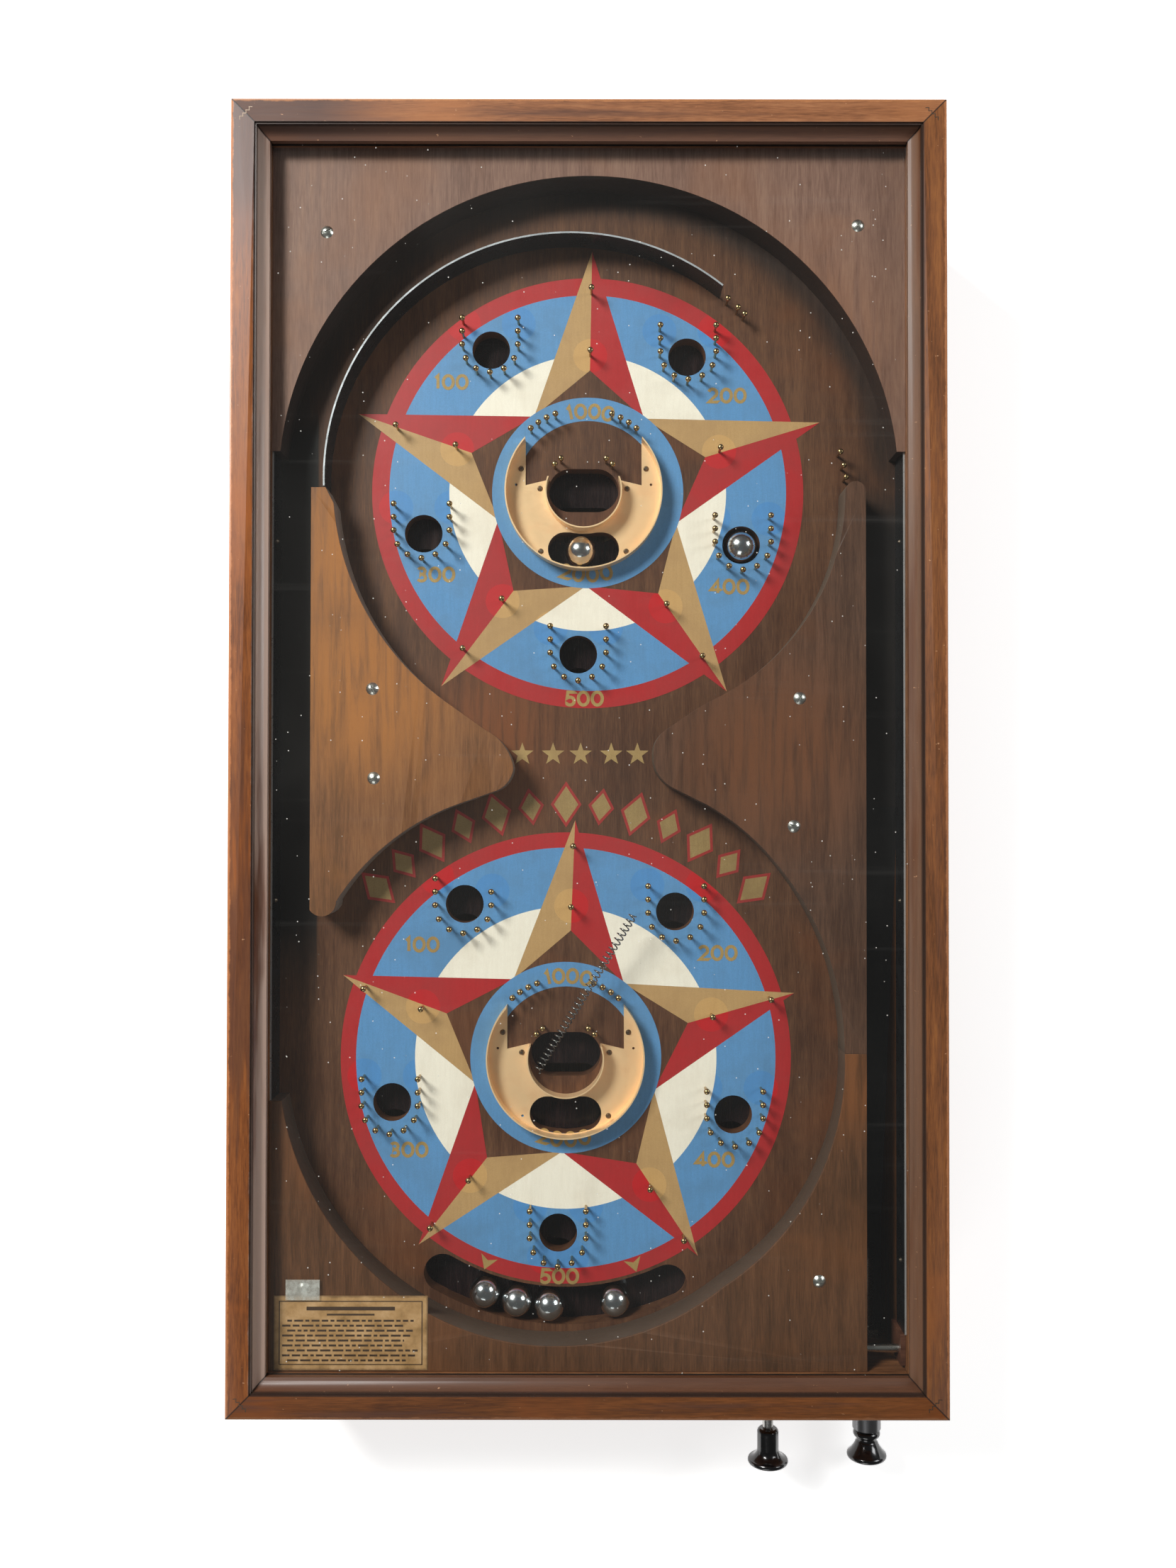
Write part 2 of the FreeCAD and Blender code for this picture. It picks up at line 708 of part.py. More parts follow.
def block_screws():
    """Two screws hold each block down; every slot stopped at its own angle."""
    places = [
        (UPPER[0] - 155.2, UPPER[1] + 150.2, 20), (UPPER[0] + 160.6, UPPER[1] + 154.4, 70),
        (-127.8, MIDDLE_Y + 39.8, 110), (-126.9, MIDDLE_Y - 13.1, 35),
        (125.2, MIDDLE_Y + 34.5, 60), (121.7, MIDDLE_Y - 41.3, 150),
        (LOWER[0] + 149.8, LOWER[1] - 127.0, 15), (LOWER[0] - 153.9, LOWER[1] - 131.7, 80),
    ]
    shape_part("block_screws", Part.makeCompound([slotted_screw(*place) for place in places]))


# ---------------------------------------------------------------- shutter, runners and return board
SHUTTER_HALF = 150.0
SHUTTER_MARGIN = 2.5
RUNNER_WIDTH = 12.0
RUNNER_LIP = 5.0
RUNNER_LIP_DEPTH = 3.0
SIDE_PLAY = 0.4


def shutter_ends():
    upper = hole_places()[0]
    front = LOWER[1] - TRAY_OUTER - SHUTTER_MARGIN
    rear = max(y for x, y in upper) + HOLE_RADIUS + SHUTTER_MARGIN
    return front, rear


def shutter_board():
    """Sliding board under the playfield. Its holes lie one travel to the front of the holes above."""
    front, rear = shutter_ends()
    back = -size("shutter_travel")
    geometry = rectangle(LOWER[0] - SHUTTER_HALF, front, LOWER[0] + SHUTTER_HALF, rear)
    upper, lower = hole_places()
    for x, y in upper + lower:
        geometry += circle(x, y + back, HOLE_RADIUS)
    for centre in (UPPER_CUP, LOWER_CUP):
        moved = (centre[0], centre[1] + back)
        x, y, length, height = CUP_HOLE_TOP
        geometry += stadium(moved[0] + x, moved[1] + y, length, height * 0.8)
        x, y, length, height = CUP_HOLE_BOTTOM
        geometry += stadium(moved[0] + x, moved[1] + y - 1.0, length - 4, height * 0.75)
    board("shutter_board", geometry, SHUTTER_BOTTOM, size("shutter_thickness"),
          "Sizes.shutter_thickness")


def runner(name, side):
    """Grooved strip screwed under the playfield that carries one edge of the shutter board."""
    front, rear = shutter_ends()
    edge = LOWER[0] + side * (SHUTTER_HALF + SIDE_PLAY)
    out = edge + side * RUNNER_WIDTH
    lip = edge - side * RUNNER_LIP
    low = SHUTTER_BOTTOM - 0.2
    corners = [
        (out, PLAY_BOTTOM), (edge, PLAY_BOTTOM), (edge, low), (lip, low),
        (lip, low - RUNNER_LIP_DEPTH), (out, low - RUNNER_LIP_DEPTH),
    ]
    body = add_body(name)
    # the XZ plane looks along -Y, so a positive offset is towards the front
    sketch = add_sketch(body, "XZ_Plane", Vector(0, 0, -rear - size("shutter_travel") - 4.0),
                        outline(corners))
    pad(body, sketch, rear - front + size("shutter_travel"))
    keep(body, name)


BEARER_WIDTH = 12.0
DIVIDER_THICKNESS = 3.0


def return_board():
    """Floor under the shutter: the balls run down it to the front guide and on to the lane."""
    wall = SLOT_SIDE - DIVIDER_THICKNESS
    rear = UPPER[1] + 130.0
    board("return_board", rectangle(-INNER_X, FRONT_INNER, wall, rear),
          RETURN_BOTTOM, size("return_thickness"), "Sizes.return_thickness")
    bearers = []
    for y in (FRONT_INNER + 90.0, (UPPER[1] + LOWER[1]) / 2, rear - 20.0):
        corners = [(y, RETURN_BOTTOM), (y + BEARER_WIDTH, RETURN_BOTTOM),
                   (y + BEARER_WIDTH, base_height(y + BEARER_WIDTH)), (y, base_height(y))]
        points = [Vector(-INNER_X, corner[0], corner[1]) for corner in corners]
        face = Part.Face(Part.makePolygon(points + points[:1]))
        bearers.append(face.extrude(Vector(wall + INNER_X, 0, 0)))
    shape_part("return_bearers", Part.makeCompound(bearers))


GUIDE_HEIGHT = 16.0
GUIDE_START = 27.0
GUIDE_END = 7.0


def return_guide():
    """Wedge along the front wall that sends the returning balls to the right."""
    wall = SLOT_SIDE - DIVIDER_THICKNESS
    board("return_guide", outline([
        (-INNER_X, FRONT_INNER), (wall, FRONT_INNER),
        (wall, FRONT_INNER + GUIDE_END), (-INNER_X, FRONT_INNER + GUIDE_START),
    ]), RETURN_TOP, GUIDE_HEIGHT)


RAMP_FOOT = 72.0
RAMP_FLOOR = 6.0


def shooter_ramp():
    """Ramp that lifts the shot ball from the plunger's level to the playfield."""
    foot = FRONT_INNER + RAMP_FOOT
    corners = [
        (FRONT_INNER, LANE_FLOOR), (foot, LANE_FLOOR), (SHOOTER_SLOT_END, PLAY_TOP),
        (SHOOTER_SLOT_END, PLAY_BOTTOM), (foot, LANE_FLOOR - RAMP_FLOOR),
        (FRONT_INNER, LANE_FLOOR - RAMP_FLOOR),
    ]
    body = section_bar("shooter_ramp", corners, SLOT_SIDE, INNER_X)
    keep(body, "shooter_ramp")


GATE_FROM = 7.0


def lane_divider():
    """Wall between the return space and the shooter lane, with a gate for one ball at the front."""
    gate_to = GATE_FROM + size("ball_diameter") + 4.0
    gate_top = SHUTTER_BOTTOM - 1.5
    rear = SHOOTER_SLOT_END
    foot = FRONT_INNER + RAMP_FOOT
    corners = [
        (FRONT_INNER, PLAY_BOTTOM), (rear, PLAY_BOTTOM), (rear, base_height(rear)),
        (FRONT_INNER, base_height(FRONT_INNER)),
    ]
    body = section_bar("lane_divider", corners, SLOT_SIDE - DIVIDER_THICKNESS, SLOT_SIDE)
    gate = [(FRONT_INNER + GATE_FROM, RETURN_TOP), (FRONT_INNER + gate_to, RETURN_TOP),
            (FRONT_INNER + gate_to, gate_top), (FRONT_INNER + GATE_FROM, gate_top)]
    sketch = add_sketch(body, "YZ_Plane", Vector(0, 0, SLOT_SIDE + 1.0), outline(gate))
    pocket(body, sketch, DIVIDER_THICKNESS + 3.0)
    keep(body, "lane_divider")


CROSS_PIN_RADIUS = 2.5
CROSS_PIN_HEIGHT = PLAY_TOP + 13.0
CROSS_PIN_Y = FRONT_INNER + 10.3
BRACKET_THICKNESS = 3.0


def lane_cross_pin():
    """Steel pin across the front of the shooter lane, held in a small wooden cheek on the wall."""
    start = Vector(LANE_EDGE, CROSS_PIN_Y, CROSS_PIN_HEIGHT)
    length = size("lane_width") - BRACKET_THICKNESS
    shape_part("lane_cross_pin", Part.makeCylinder(CROSS_PIN_RADIUS, length, start, Vector(1, 0, 0)))
    cheek = box(INNER_X - BRACKET_THICKNESS, FRONT_INNER + 2.0, PLAY_TOP - 6.0,
                INNER_X, FRONT_INNER + 20.5, PLAY_TOP + 19.0)
    shape_part("lane_pin_cheek", cheek)


# ---------------------------------------------------------------- plunger
BARREL_END_WALL = 3.0
BARREL_TAIL = 5.0
COLLAR_THICKNESS = 3.0
TIP_LENGTH = 8.0
KNOB_GAP = 0.2
KNOB_BORE_DEPTH = 12.0
BARREL_FRONT = FRONT_OUTER - size("barrel_reach")
TIP_FRONT = FRONT_INNER + size("plunger_travel") + BARREL_TAIL + 4.0
COLLAR_FRONT = FRONT_INNER + 2.0


def plunger_barrel():
    outside = size("barrel_diameter") / 2
    bore = size("barrel_bore") / 2
    guide = size("rod_diameter") / 2 + size("fit_clearance")
    shoulder = BARREL_FRONT + BARREL_END_WALL
    flange = outside + 4.3
    turned("plunger_barrel", LANE_MIDDLE, PLUNGER_HEIGHT, [
        (BARREL_FRONT, guide), (BARREL_FRONT, outside - 0.8), (BARREL_FRONT + 0.8, outside),
        (FRONT_OUTER - 2.5, outside), (FRONT_OUTER - 2.5, flange), (FRONT_OUTER, flange),
        (FRONT_OUTER, outside), (FRONT_INNER + BARREL_TAIL, outside),
        (FRONT_INNER + BARREL_TAIL, bore), (shoulder, bore), (shoulder, guide),
    ])


def barrel_nut():
    """Thin hexagon nut that clamps the barrel from inside the cabinet."""
    across = size("barrel_diameter") / 2 + 2.0
    corners = []
    for number in range(7):
        turn = math.radians(60 * number)
        corners.append(Vector(LANE_MIDDLE + across * math.cos(turn), FRONT_INNER,
                              PLUNGER_HEIGHT + across * math.sin(turn)))
    face = Part.Face(Part.makePolygon(corners))
    nut = face.extrude(Vector(0, BARREL_TAIL, 0))
    bore = Part.makeCylinder(size("barrel_diameter") / 2, BARREL_TAIL,
                             Vector(LANE_MIDDLE, FRONT_INNER, PLUNGER_HEIGHT), Vector(0, 1, 0))
    shape_part("barrel_nut", nut.cut(bore))


def plunger_rod():
    radius = size("rod_diameter") / 2
    tip = TIP_FRONT - TIP_LENGTH
    turned("plunger_rod", LANE_MIDDLE, PLUNGER_HEIGHT, [
        (BARREL_FRONT - KNOB_BORE_DEPTH, 0.0), (tip, 0.0), (tip, radius),
        (BARREL_FRONT - KNOB_BORE_DEPTH, radius),
    ])
    turned("plunger_tip", LANE_MIDDLE, PLUNGER_HEIGHT, [
        (tip, 0.0), (TIP_FRONT, 0.0),
        (TIP_FRONT, 1.0, TIP_FRONT - 0.6, size("tip_diameter") * 0.3),
        (TIP_FRONT - 2.5, size("tip_diameter") / 2), (tip, size("tip_diameter") / 2),
    ])
    turned("plunger_collar", LANE_MIDDLE, PLUNGER_HEIGHT, [
        (COLLAR_FRONT, radius), (COLLAR_FRONT + COLLAR_THICKNESS, radius),
        (COLLAR_FRONT + COLLAR_THICKNESS, size("barrel_bore") / 2 - 0.4),
        (COLLAR_FRONT, size("barrel_bore") / 2 - 0.4),
    ])


def plunger_knob():
    """Black turned knob: a bead against the barrel, a neck and a wide domed flange."""
    rear = BARREL_FRONT - KNOB_GAP
    bore = size("rod_diameter") / 2
    inner = BARREL_FRONT - KNOB_BORE_DEPTH
    turned("plunger_knob", LANE_MIDDLE, PLUNGER_HEIGHT, [
        (rear, bore), (rear, 6.6, rear - 2.4, 8.45), (rear - 4.8, 6.5, rear - 6.2, 6.3),
        (rear - 7.4, 6.9, rear - 11.2, 8.9), (rear - 14.6, 11.9, rear - 16.0, 12.4),
        (rear - 17.4, 11.8, rear - 19.6, 7.0), (rear - 20.6, 1.0), (rear - 20.6, 0.0),
        (inner, 0.0), (inner, bore),
    ])


def spring_stand_in(name, x, z, y_from, y_to, outside, wire):
    """Plain sleeve with the coil spring's length, outer and inner size."""
    turned(name, x, z, [
        (y_from, outside - wire), (y_to, outside - wire), (y_to, outside), (y_from, outside),
    ])


SPRING_WIRE = 1.2


def plunger():
    plunger_barrel()
    barrel_nut()
    plunger_rod()
    plunger_knob()
    spring_stand_in("plunger_spring", LANE_MIDDLE, PLUNGER_HEIGHT,
                    BARREL_FRONT + BARREL_END_WALL, COLLAR_FRONT,
                    size("barrel_bore") / 2 - 0.5, SPRING_WIRE)


# ---------------------------------------------------------------- push rod and its plate
PLATE_WIDTH = 30.0
PLATE_LENGTH = 26.0
PLATE_THICKNESS = 2.0
RETURN_SPRING_X = 78.0
RETURN_SPRING_RADIUS = 2.75


def push_rod():
    """Rod that slides the shutter board to the rear when its knob is pushed."""
    x = size("push_rod_x")
    radius = size("push_rod_diameter") / 2
    front = shutter_ends()[0]
    lip = front - PLATE_THICKNESS
    knob = FRONT_OUTER - size("push_rod_reach")
    end = knob - KNOB_BORE_DEPTH
    turned("push_rod", x, PUSH_ROD_HEIGHT, [(end, 0.0), (lip, 0.0), (lip, radius), (end, radius)])
    turned("push_rod_knob", x, PUSH_ROD_HEIGHT, [
        (knob, radius), (knob, 5.0, knob - 1.0, 6.2), (knob - 2.6, 6.6),
        (knob - 12.6, 6.6, knob - 16.2, 8.0), (knob - 18.4, 11.8, knob - 19.8, 12.4),
        (knob - 21.2, 11.7, knob - 23.2, 7.0), (knob - 24.2, 1.0), (knob - 24.2, 0.0),
        (end, 0.0), (end, radius),
    ])
    turned("push_rod_bushing", x, PUSH_ROD_HEIGHT, [
        (FRONT_OUTER - 2.0, radius + size("fit_clearance")), (FRONT_OUTER - 2.0, 8.0),
        (FRONT_OUTER, 8.0), (FRONT_OUTER, BUSHING_RADIUS), (FRONT_INNER, BUSHING_RADIUS),
        (FRONT_INNER, radius + size("fit_clearance")),
    ])
    half = PLATE_WIDTH / 2
    low = SHUTTER_BOTTOM - PLATE_THICKNESS
    post_y = front + PLATE_LENGTH - 4.0
    plate = box(x - half, lip, low, x + half, front + PLATE_LENGTH, SHUTTER_BOTTOM)
    upright = box(x - half, lip, low, x + half, front, SHUTTER_TOP)
    hook = Part.makeCylinder(1.2, 6.0, Vector(RETURN_SPRING_X, post_y, SHUTTER_BOTTOM),
                             Vector(0, 0, -1))
    arm = box(RETURN_SPRING_X - 4.0, front + PLATE_LENGTH - 8.0, low, x, front + PLATE_LENGTH,
              SHUTTER_BOTTOM)
    shape_part("push_rod_plate", plate.fuse(upright).fuse(arm).fuse(hook).removeSplitter())
    height = SHUTTER_BOTTOM - PLATE_THICKNESS - 0.4 - RETURN_SPRING_RADIUS
    spring_stand_in("shutter_spring", RETURN_SPRING_X, height, FRONT_INNER, post_y - 1.3,
                    RETURN_SPRING_RADIUS, 0.8)


# ---------------------------------------------------------------- balls, loose spring, card and tape
def sphere(x, y, z):
    ball = doc.addObject("Part::Sphere", "ball")
    ball.setExpression("Radius", "Sizes.ball_diameter / 2")
    ball.Placement = Placement(Vector(x, y, z), Rotation())
    return ball


TRAY_ROW = -109.0
TRAY_LONER = -78.6


def balls():
    """Six balls rest on the shutter in the tray and in two holes, four wait at the lane gate."""
    on_shutter = SHUTTER_TOP + BALL_RADIUS + 0.3
    on_board = RETURN_TOP + BALL_RADIUS
    tray = (size("tray_inner") + TRAY_OUTER) / 2 + 0.7
    beside = math.degrees(size("ball_diameter") * 1.05 / tray)
    angles = [TRAY_ROW + beside * number for number in range(3)] + [TRAY_LONER]
    spots = [on_circle(LOWER, tray, angle) + (on_shutter,) for angle in angles]
    upper = hole_places()[0]
    spots.append((upper[4][0], upper[4][1] - 0.6, on_shutter))
    spots.append((UPPER_CUP[0] - 1.7, UPPER_CUP[1] + CUP_HOLE_BOTTOM[1] - 0.4, on_shutter))
    waiting = []
    slant = (GUIDE_START - GUIDE_END) / (INNER_X + LANE_EDGE)
    for number in range(4):
        x = LANE_EDGE - DIVIDER_THICKNESS - BALL_RADIUS - number * (size("ball_diameter") + 0.4)
        y = FRONT_INNER + GUIDE_END + slant * (LANE_EDGE - x) + BALL_RADIUS + 0.3
        waiting.append((x, y, on_board))
    steel = doc.addObject("Part::Compound", "steel_balls")
    steel.Links = [sphere(*spot) for spot in spots + waiting[:3]]
    keep(steel, "steel_balls")
    gold = doc.addObject("Part::Compound", "gold_ball")
    gold.Links = [sphere(*waiting[3])]
    keep(gold, "gold_ball")


def loose_spring():
    """Broken return spring lying across the lower cup's pins, drawn as a sleeve of its outer size."""
    start = Vector(LOWER[0] + 40.6, LOWER[1] + 88.7, BLOCK_TOP - 1.0)
    end = Vector(LOWER[0] - 17.4, LOWER[1] - 7.2, PLAY_TOP + 7.5)
    along = end - start
    sleeve = tube(RETURN_SPRING_RADIUS, RETURN_SPRING_RADIUS - 0.6, along.Length, start, along)
    shape_part("loose_spring", sleeve)


def card_and_tape():
    left = -INNER_X + 3.5
    front = FRONT_INNER + 1.0
    card_width = 90.5
    card_length = 43.5
    paper = 0.3
    card = box(left, front, BLOCK_TOP, left + card_width, front + card_length, BLOCK_TOP + paper)
    shape_part("direction_card", card)
    screw_top = BLOCK_TOP + 1.6
    x, y = LOWER[0] - 153.9, LOWER[1] - 131.7
    tape = box(x - 10.0, y - 6.0, screw_top, x + 10.0, y + 6.0, screw_top + 0.15)
    shape_part("card_tape", tape)


# ---------------------------------------------------------------- glazed lid
def moulding_profile():
    """Section of the lid moulding, from its outer edge inwards: flat band, step, cove and rebate."""
    band = size("band_width")
    width = size("moulding_width")
    rebate = size("rebate_from_edge")
    depth = size("rebate_depth")
    bottom = -size("frame_depth")
    return [
        (0.0, bottom), (0.0, -1.2, 0.35, -0.35), (1.2, 0.0), (band - 0.3, 0.0), (band, -1.0),
        (band + 0.8, -1.0, band + 2.0, -5.0), (width - 1.6, -7.6), (width, -8.4), (width, -depth),
        (rebate, -depth), (rebate, bottom),
    ]


def rail_section(edge, inward):
    corners = []
    for corner in moulding_profile():
        flat = [value if number % 2 else edge + inward * value for number, value in enumerate(corner)]
        corners.append(tuple(flat))
    return outline(corners)


def mitre_cuts(body, ends):
    """Cut both ends of a rail at 45 degrees: each triangle lies outside the mitre line."""
    geometry = []
    for corners in ends:
        geometry += outline(corners)
    sketch = add_sketch(body, "XY_Plane", Vector(0, 0, 5.0), geometry)
    pocket(body, sketch, size("frame_depth") + 10.0)


def side_rail(name, side):
    body = add_body(name)
    sketch = add_sketch(body, "XZ_Plane", Vector(0, 0, -HALF_FRAME_Y),
                        rail_section(side * HALF_FRAME_X, -side))
    pad(body, sketch, size("frame_length"), "Sizes.frame_length")
    reach = size("moulding_width") + 5.0
    x = side * HALF_FRAME_X
    ends = []
    for end in (-1, 1):
        y = end * HALF_FRAME_Y
        ends.append([(x, y), (x - side * reach, y - end * reach), (x - side * reach, y + end * 5.0),
                     (x, y + end * 5.0)])
    mitre_cuts(body, ends)
    keep(body, name)


def end_rail(name, side):
    body = add_body(name)
    sketch = add_sketch(body, "YZ_Plane", Vector(0, 0, -HALF_FRAME_X),
                        rail_section(side * HALF_FRAME_Y, -side))
    pad(body, sketch, size("frame_width"), "Sizes.frame_width")
    reach = size("moulding_width") + 5.0
    y = side * HALF_FRAME_Y
    ends = []
    for end in (-1, 1):
        x = end * HALF_FRAME_X
        ends.append([(x, y), (x - end * reach, y - side * reach), (x + end * 5.0, y - side * reach),
                     (x + end * 5.0, y)])
    mitre_cuts(body, ends)
    keep(body, name)


def glass_and_beads():
    """Glass pane in the rebate, held up by four thin wooden beads."""
    half_x = HALF_FRAME_X - size("rebate_from_edge") - size("glass_play")
    half_y = HALF_FRAME_Y - size("rebate_from_edge") - size("glass_play")
    top = -size("rebate_depth")
    bottom = top - size("glass_thickness")
    board("glass", rectangle(-half_x, -half_y, half_x, half_y), bottom, size("glass_thickness"),
          "Sizes.glass_thickness")
    width = size("bead_width")
    low = -size("frame_depth") + size("bead_clear")
    beads = []
    for side in (-1, 1):
        edge = side * (half_x + size("glass_play"))
        inner = edge - side * width
        beads.append(box(min(edge, inner), -half_y, low, max(edge, inner), half_y, bottom))
        edge = side * (half_y + size("glass_play"))
        inner = edge - side * width
        reach = half_x + size("glass_play") - width
        beads.append(box(-reach, min(edge, inner), low, reach, max(edge, inner), bottom))
    shape_part("glass_beads", Part.makeCompound(beads))


def mitre_fasteners():
    """Corrugated steel fastener driven across each mitre, flush with the frame's band."""
    wave = 2.6
    waves = 4
    thick = 0.6
    deep = 9.0
    bits = []
    for x_side in (-1, 1):
        for y_side in (-1, 1):
            points = []
            for number in range(2 * waves + 1):
                swing = 0.7 if number % 2 else -0.7
                points.append(Vector((number - waves) * wave / 2, swing, 0))
            back = [point + Vector(0, thick, 0) for point in reversed(points)]
            face = Part.Face(Part.makePolygon(points + back + points[:1]))
            strip = face.extrude(Vector(0, 0, deep))
            turn = 45 if x_side == y_side * -1 else -45
            strip.rotate(Vector(0, 0, 0), Vector(0, 0, 1), turn)
            inset = size("band_width") * 0.62
            strip.translate(Vector(x_side * (HALF_FRAME_X - inset), y_side * (HALF_FRAME_Y - inset),
                                   0.05 - deep))
            bits.append(strip)
    shape_part("mitre_fasteners", Part.makeCompound(bits))


# ---------------------------------------------------------------- hinges
HINGE_X = 130.0
HINGE_WIDTH = 44.0
LEAF_THICKNESS = 1.5
LEAF_HEIGHT = 13.0
KNUCKLE_RADIUS = 2.6
HINGE_PIN_RADIUS = 1.3
KNUCKLE_GAP = 0.3
HINGE_Y = REAR_OUTER + KNUCKLE_RADIUS
HINGE_Z = WALL_TOP


def hinge_leaf(x, downward, segments):
    """One leaf with its knuckles; segments are the spans along X that its knuckles take."""
    half = HINGE_WIDTH / 2
    way = -1 if downward else 1
    clear = KNUCKLE_RADIUS + 0.3
    z_near = HINGE_Z + way * clear
    z_far = HINGE_Z + way * (clear + LEAF_HEIGHT - 3.0)
    shape = box(x - half, REAR_OUTER, min(z_near, z_far), x + half, REAR_OUTER + LEAF_THICKNESS,
                max(z_near, z_far))
    for start, end in segments:
        web = box(x + start, REAR_OUTER, min(z_near, HINGE_Z), x + end, REAR_OUTER + LEAF_THICKNESS,
                  max(z_near, HINGE_Z))
        knuckle = Part.makeCylinder(KNUCKLE_RADIUS, end - start, Vector(x + start, HINGE_Y, HINGE_Z),
                                    Vector(1, 0, 0))
        shape = shape.fuse(web).fuse(knuckle)
    bore = Part.makeCylinder(HINGE_PIN_RADIUS + size("fit_clearance") * (0 if downward else 1),
                             HINGE_WIDTH + 2, Vector(x - half - 1, HINGE_Y, HINGE_Z), Vector(1, 0, 0))
    return shape.cut(bore).removeSplitter()


def hinge_screw_heads(x, downward):
    way = -1 if downward else 1
    z = HINGE_Z + way * (KNUCKLE_RADIUS + LEAF_HEIGHT * 0.5 - 1.2)
    return [round_nail(Vector(x + dx, REAR_OUTER + LEAF_THICKNESS, z), Vector(0, 1, 0), 4.6, 11.0)
            for dx in (-15.0, 0.0, 15.0)]


def hinges():
    half = HINGE_WIDTH / 2
    third = HINGE_WIDTH / 3
    ends = [(-half, -half + third), (half - third, half)]
    middle = [(-half + third + KNUCKLE_GAP, half - third - KNUCKLE_GAP)]
    sides = (-HINGE_X, HINGE_X)
    shape_part("cabinet_hinge_leaves", Part.makeCompound([hinge_leaf(x, True, ends) for x in sides]))
    shape_part("lid_hinge_leaves", Part.makeCompound([hinge_leaf(x, False, middle) for x in sides]))
    pins = [Part.makeCylinder(HINGE_PIN_RADIUS, HINGE_WIDTH, Vector(x - half, HINGE_Y, HINGE_Z),
                              Vector(1, 0, 0)) for x in sides]
    shape_part("hinge_pins", Part.makeCompound(pins))
    cabinet_screws = [screw for x in sides for screw in hinge_screw_heads(x, True)]
    lid_screws = [screw for x in sides for screw in hinge_screw_heads(x, False)]
    shape_part("cabinet_hinge_screws", Part.makeCompound(cabinet_screws))
    shape_part("lid_hinge_screws", Part.makeCompound(lid_screws))


# ---------------------------------------------------------------- build, test and write
cabinet()
playfield_board()
wooden_blocks()
curved_rail()
lane_strips()
scoring_pins()
shape_part("small_nails", Part.makeCompound(strip_nails() + cups()))
block_screws()
shutter_board()
runner("left_runner", -1)
runner("right_runner", 1)
return_board()
return_guide()
shooter_ramp()
lane_divider()
lane_cross_pin()
plunger()
push_rod()
balls()
loose_spring()
card_and_tape()
side_rail("left_frame_rail", -1)
side_rail("right_frame_rail", 1)
end_rail("front_frame_rail", -1)
end_rail("rear_frame_rail", 1)
glass_and_beads()
mitre_fasteners()
hinges()
doc.recompute()

for thing in doc.Objects:
    if "Invalid" in thing.State or "Error" in thing.State:
        raise ValueError("%s could not be built: %s" % (thing.Label, thing.State))
for thing in parts:
    if thing.Shape.isNull() or not thing.Shape.isValid():
        raise ValueError(thing.Label + " has no valid shape")
os.makedirs("parts", exist_ok=True)
for thing in parts:
    thing.Shape.exportStep("parts/%s.step" % thing.Label)
    print(thing.Label, len(thing.Shape.Solids), round(thing.Shape.Volume, 1))
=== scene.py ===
import json
import math
import random

import bmesh
import bpy
import numpy as np
from mathutils import Matrix, Vector
from mathutils.geometry import delaunay_2d_cdt

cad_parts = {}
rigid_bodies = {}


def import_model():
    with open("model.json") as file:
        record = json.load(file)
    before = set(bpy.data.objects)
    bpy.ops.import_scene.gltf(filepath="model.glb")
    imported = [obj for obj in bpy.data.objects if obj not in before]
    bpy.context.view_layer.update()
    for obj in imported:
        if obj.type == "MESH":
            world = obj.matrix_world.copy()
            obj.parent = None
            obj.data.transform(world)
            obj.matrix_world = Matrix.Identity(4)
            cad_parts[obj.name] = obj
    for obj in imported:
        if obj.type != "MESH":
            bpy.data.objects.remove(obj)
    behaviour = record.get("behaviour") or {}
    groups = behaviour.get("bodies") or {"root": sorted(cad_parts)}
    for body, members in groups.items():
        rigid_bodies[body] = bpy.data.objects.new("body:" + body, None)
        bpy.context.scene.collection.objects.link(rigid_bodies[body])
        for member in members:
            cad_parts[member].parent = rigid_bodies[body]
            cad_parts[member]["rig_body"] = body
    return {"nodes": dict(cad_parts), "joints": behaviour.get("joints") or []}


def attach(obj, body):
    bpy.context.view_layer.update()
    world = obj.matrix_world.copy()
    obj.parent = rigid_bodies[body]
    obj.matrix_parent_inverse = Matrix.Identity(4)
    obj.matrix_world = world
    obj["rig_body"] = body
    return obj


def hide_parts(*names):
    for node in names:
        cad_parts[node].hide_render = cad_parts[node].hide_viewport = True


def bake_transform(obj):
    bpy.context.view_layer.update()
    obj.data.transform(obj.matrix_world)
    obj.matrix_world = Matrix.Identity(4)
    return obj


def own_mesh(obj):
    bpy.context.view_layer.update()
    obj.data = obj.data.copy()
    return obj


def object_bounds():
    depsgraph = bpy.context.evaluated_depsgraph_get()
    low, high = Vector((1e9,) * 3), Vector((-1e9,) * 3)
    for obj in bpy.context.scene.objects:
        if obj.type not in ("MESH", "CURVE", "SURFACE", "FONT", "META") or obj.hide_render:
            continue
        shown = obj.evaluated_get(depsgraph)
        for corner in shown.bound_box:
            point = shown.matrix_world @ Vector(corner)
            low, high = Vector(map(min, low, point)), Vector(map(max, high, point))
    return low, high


# Counter-top pin game: paint, printed card, wire springs, glass and every finish, laid on the CAD frame.
#
# Most pieces are drawn in millimetres in the table frame: +X to the player's right, +Y to the rear and
# +Z out of the glass, with the origin in the middle of the lid's top face. TABLE puts them in the row frame.

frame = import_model()
cad_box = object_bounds()

NODES = frame["nodes"]
MM = 0.001
WELD = 0.002
RAILS = ("left_frame_rail", "right_frame_rail", "front_frame_rail", "rear_frame_rail")
STEP_LINE = 14.3  # from the frame's outer edge to the step in its moulding


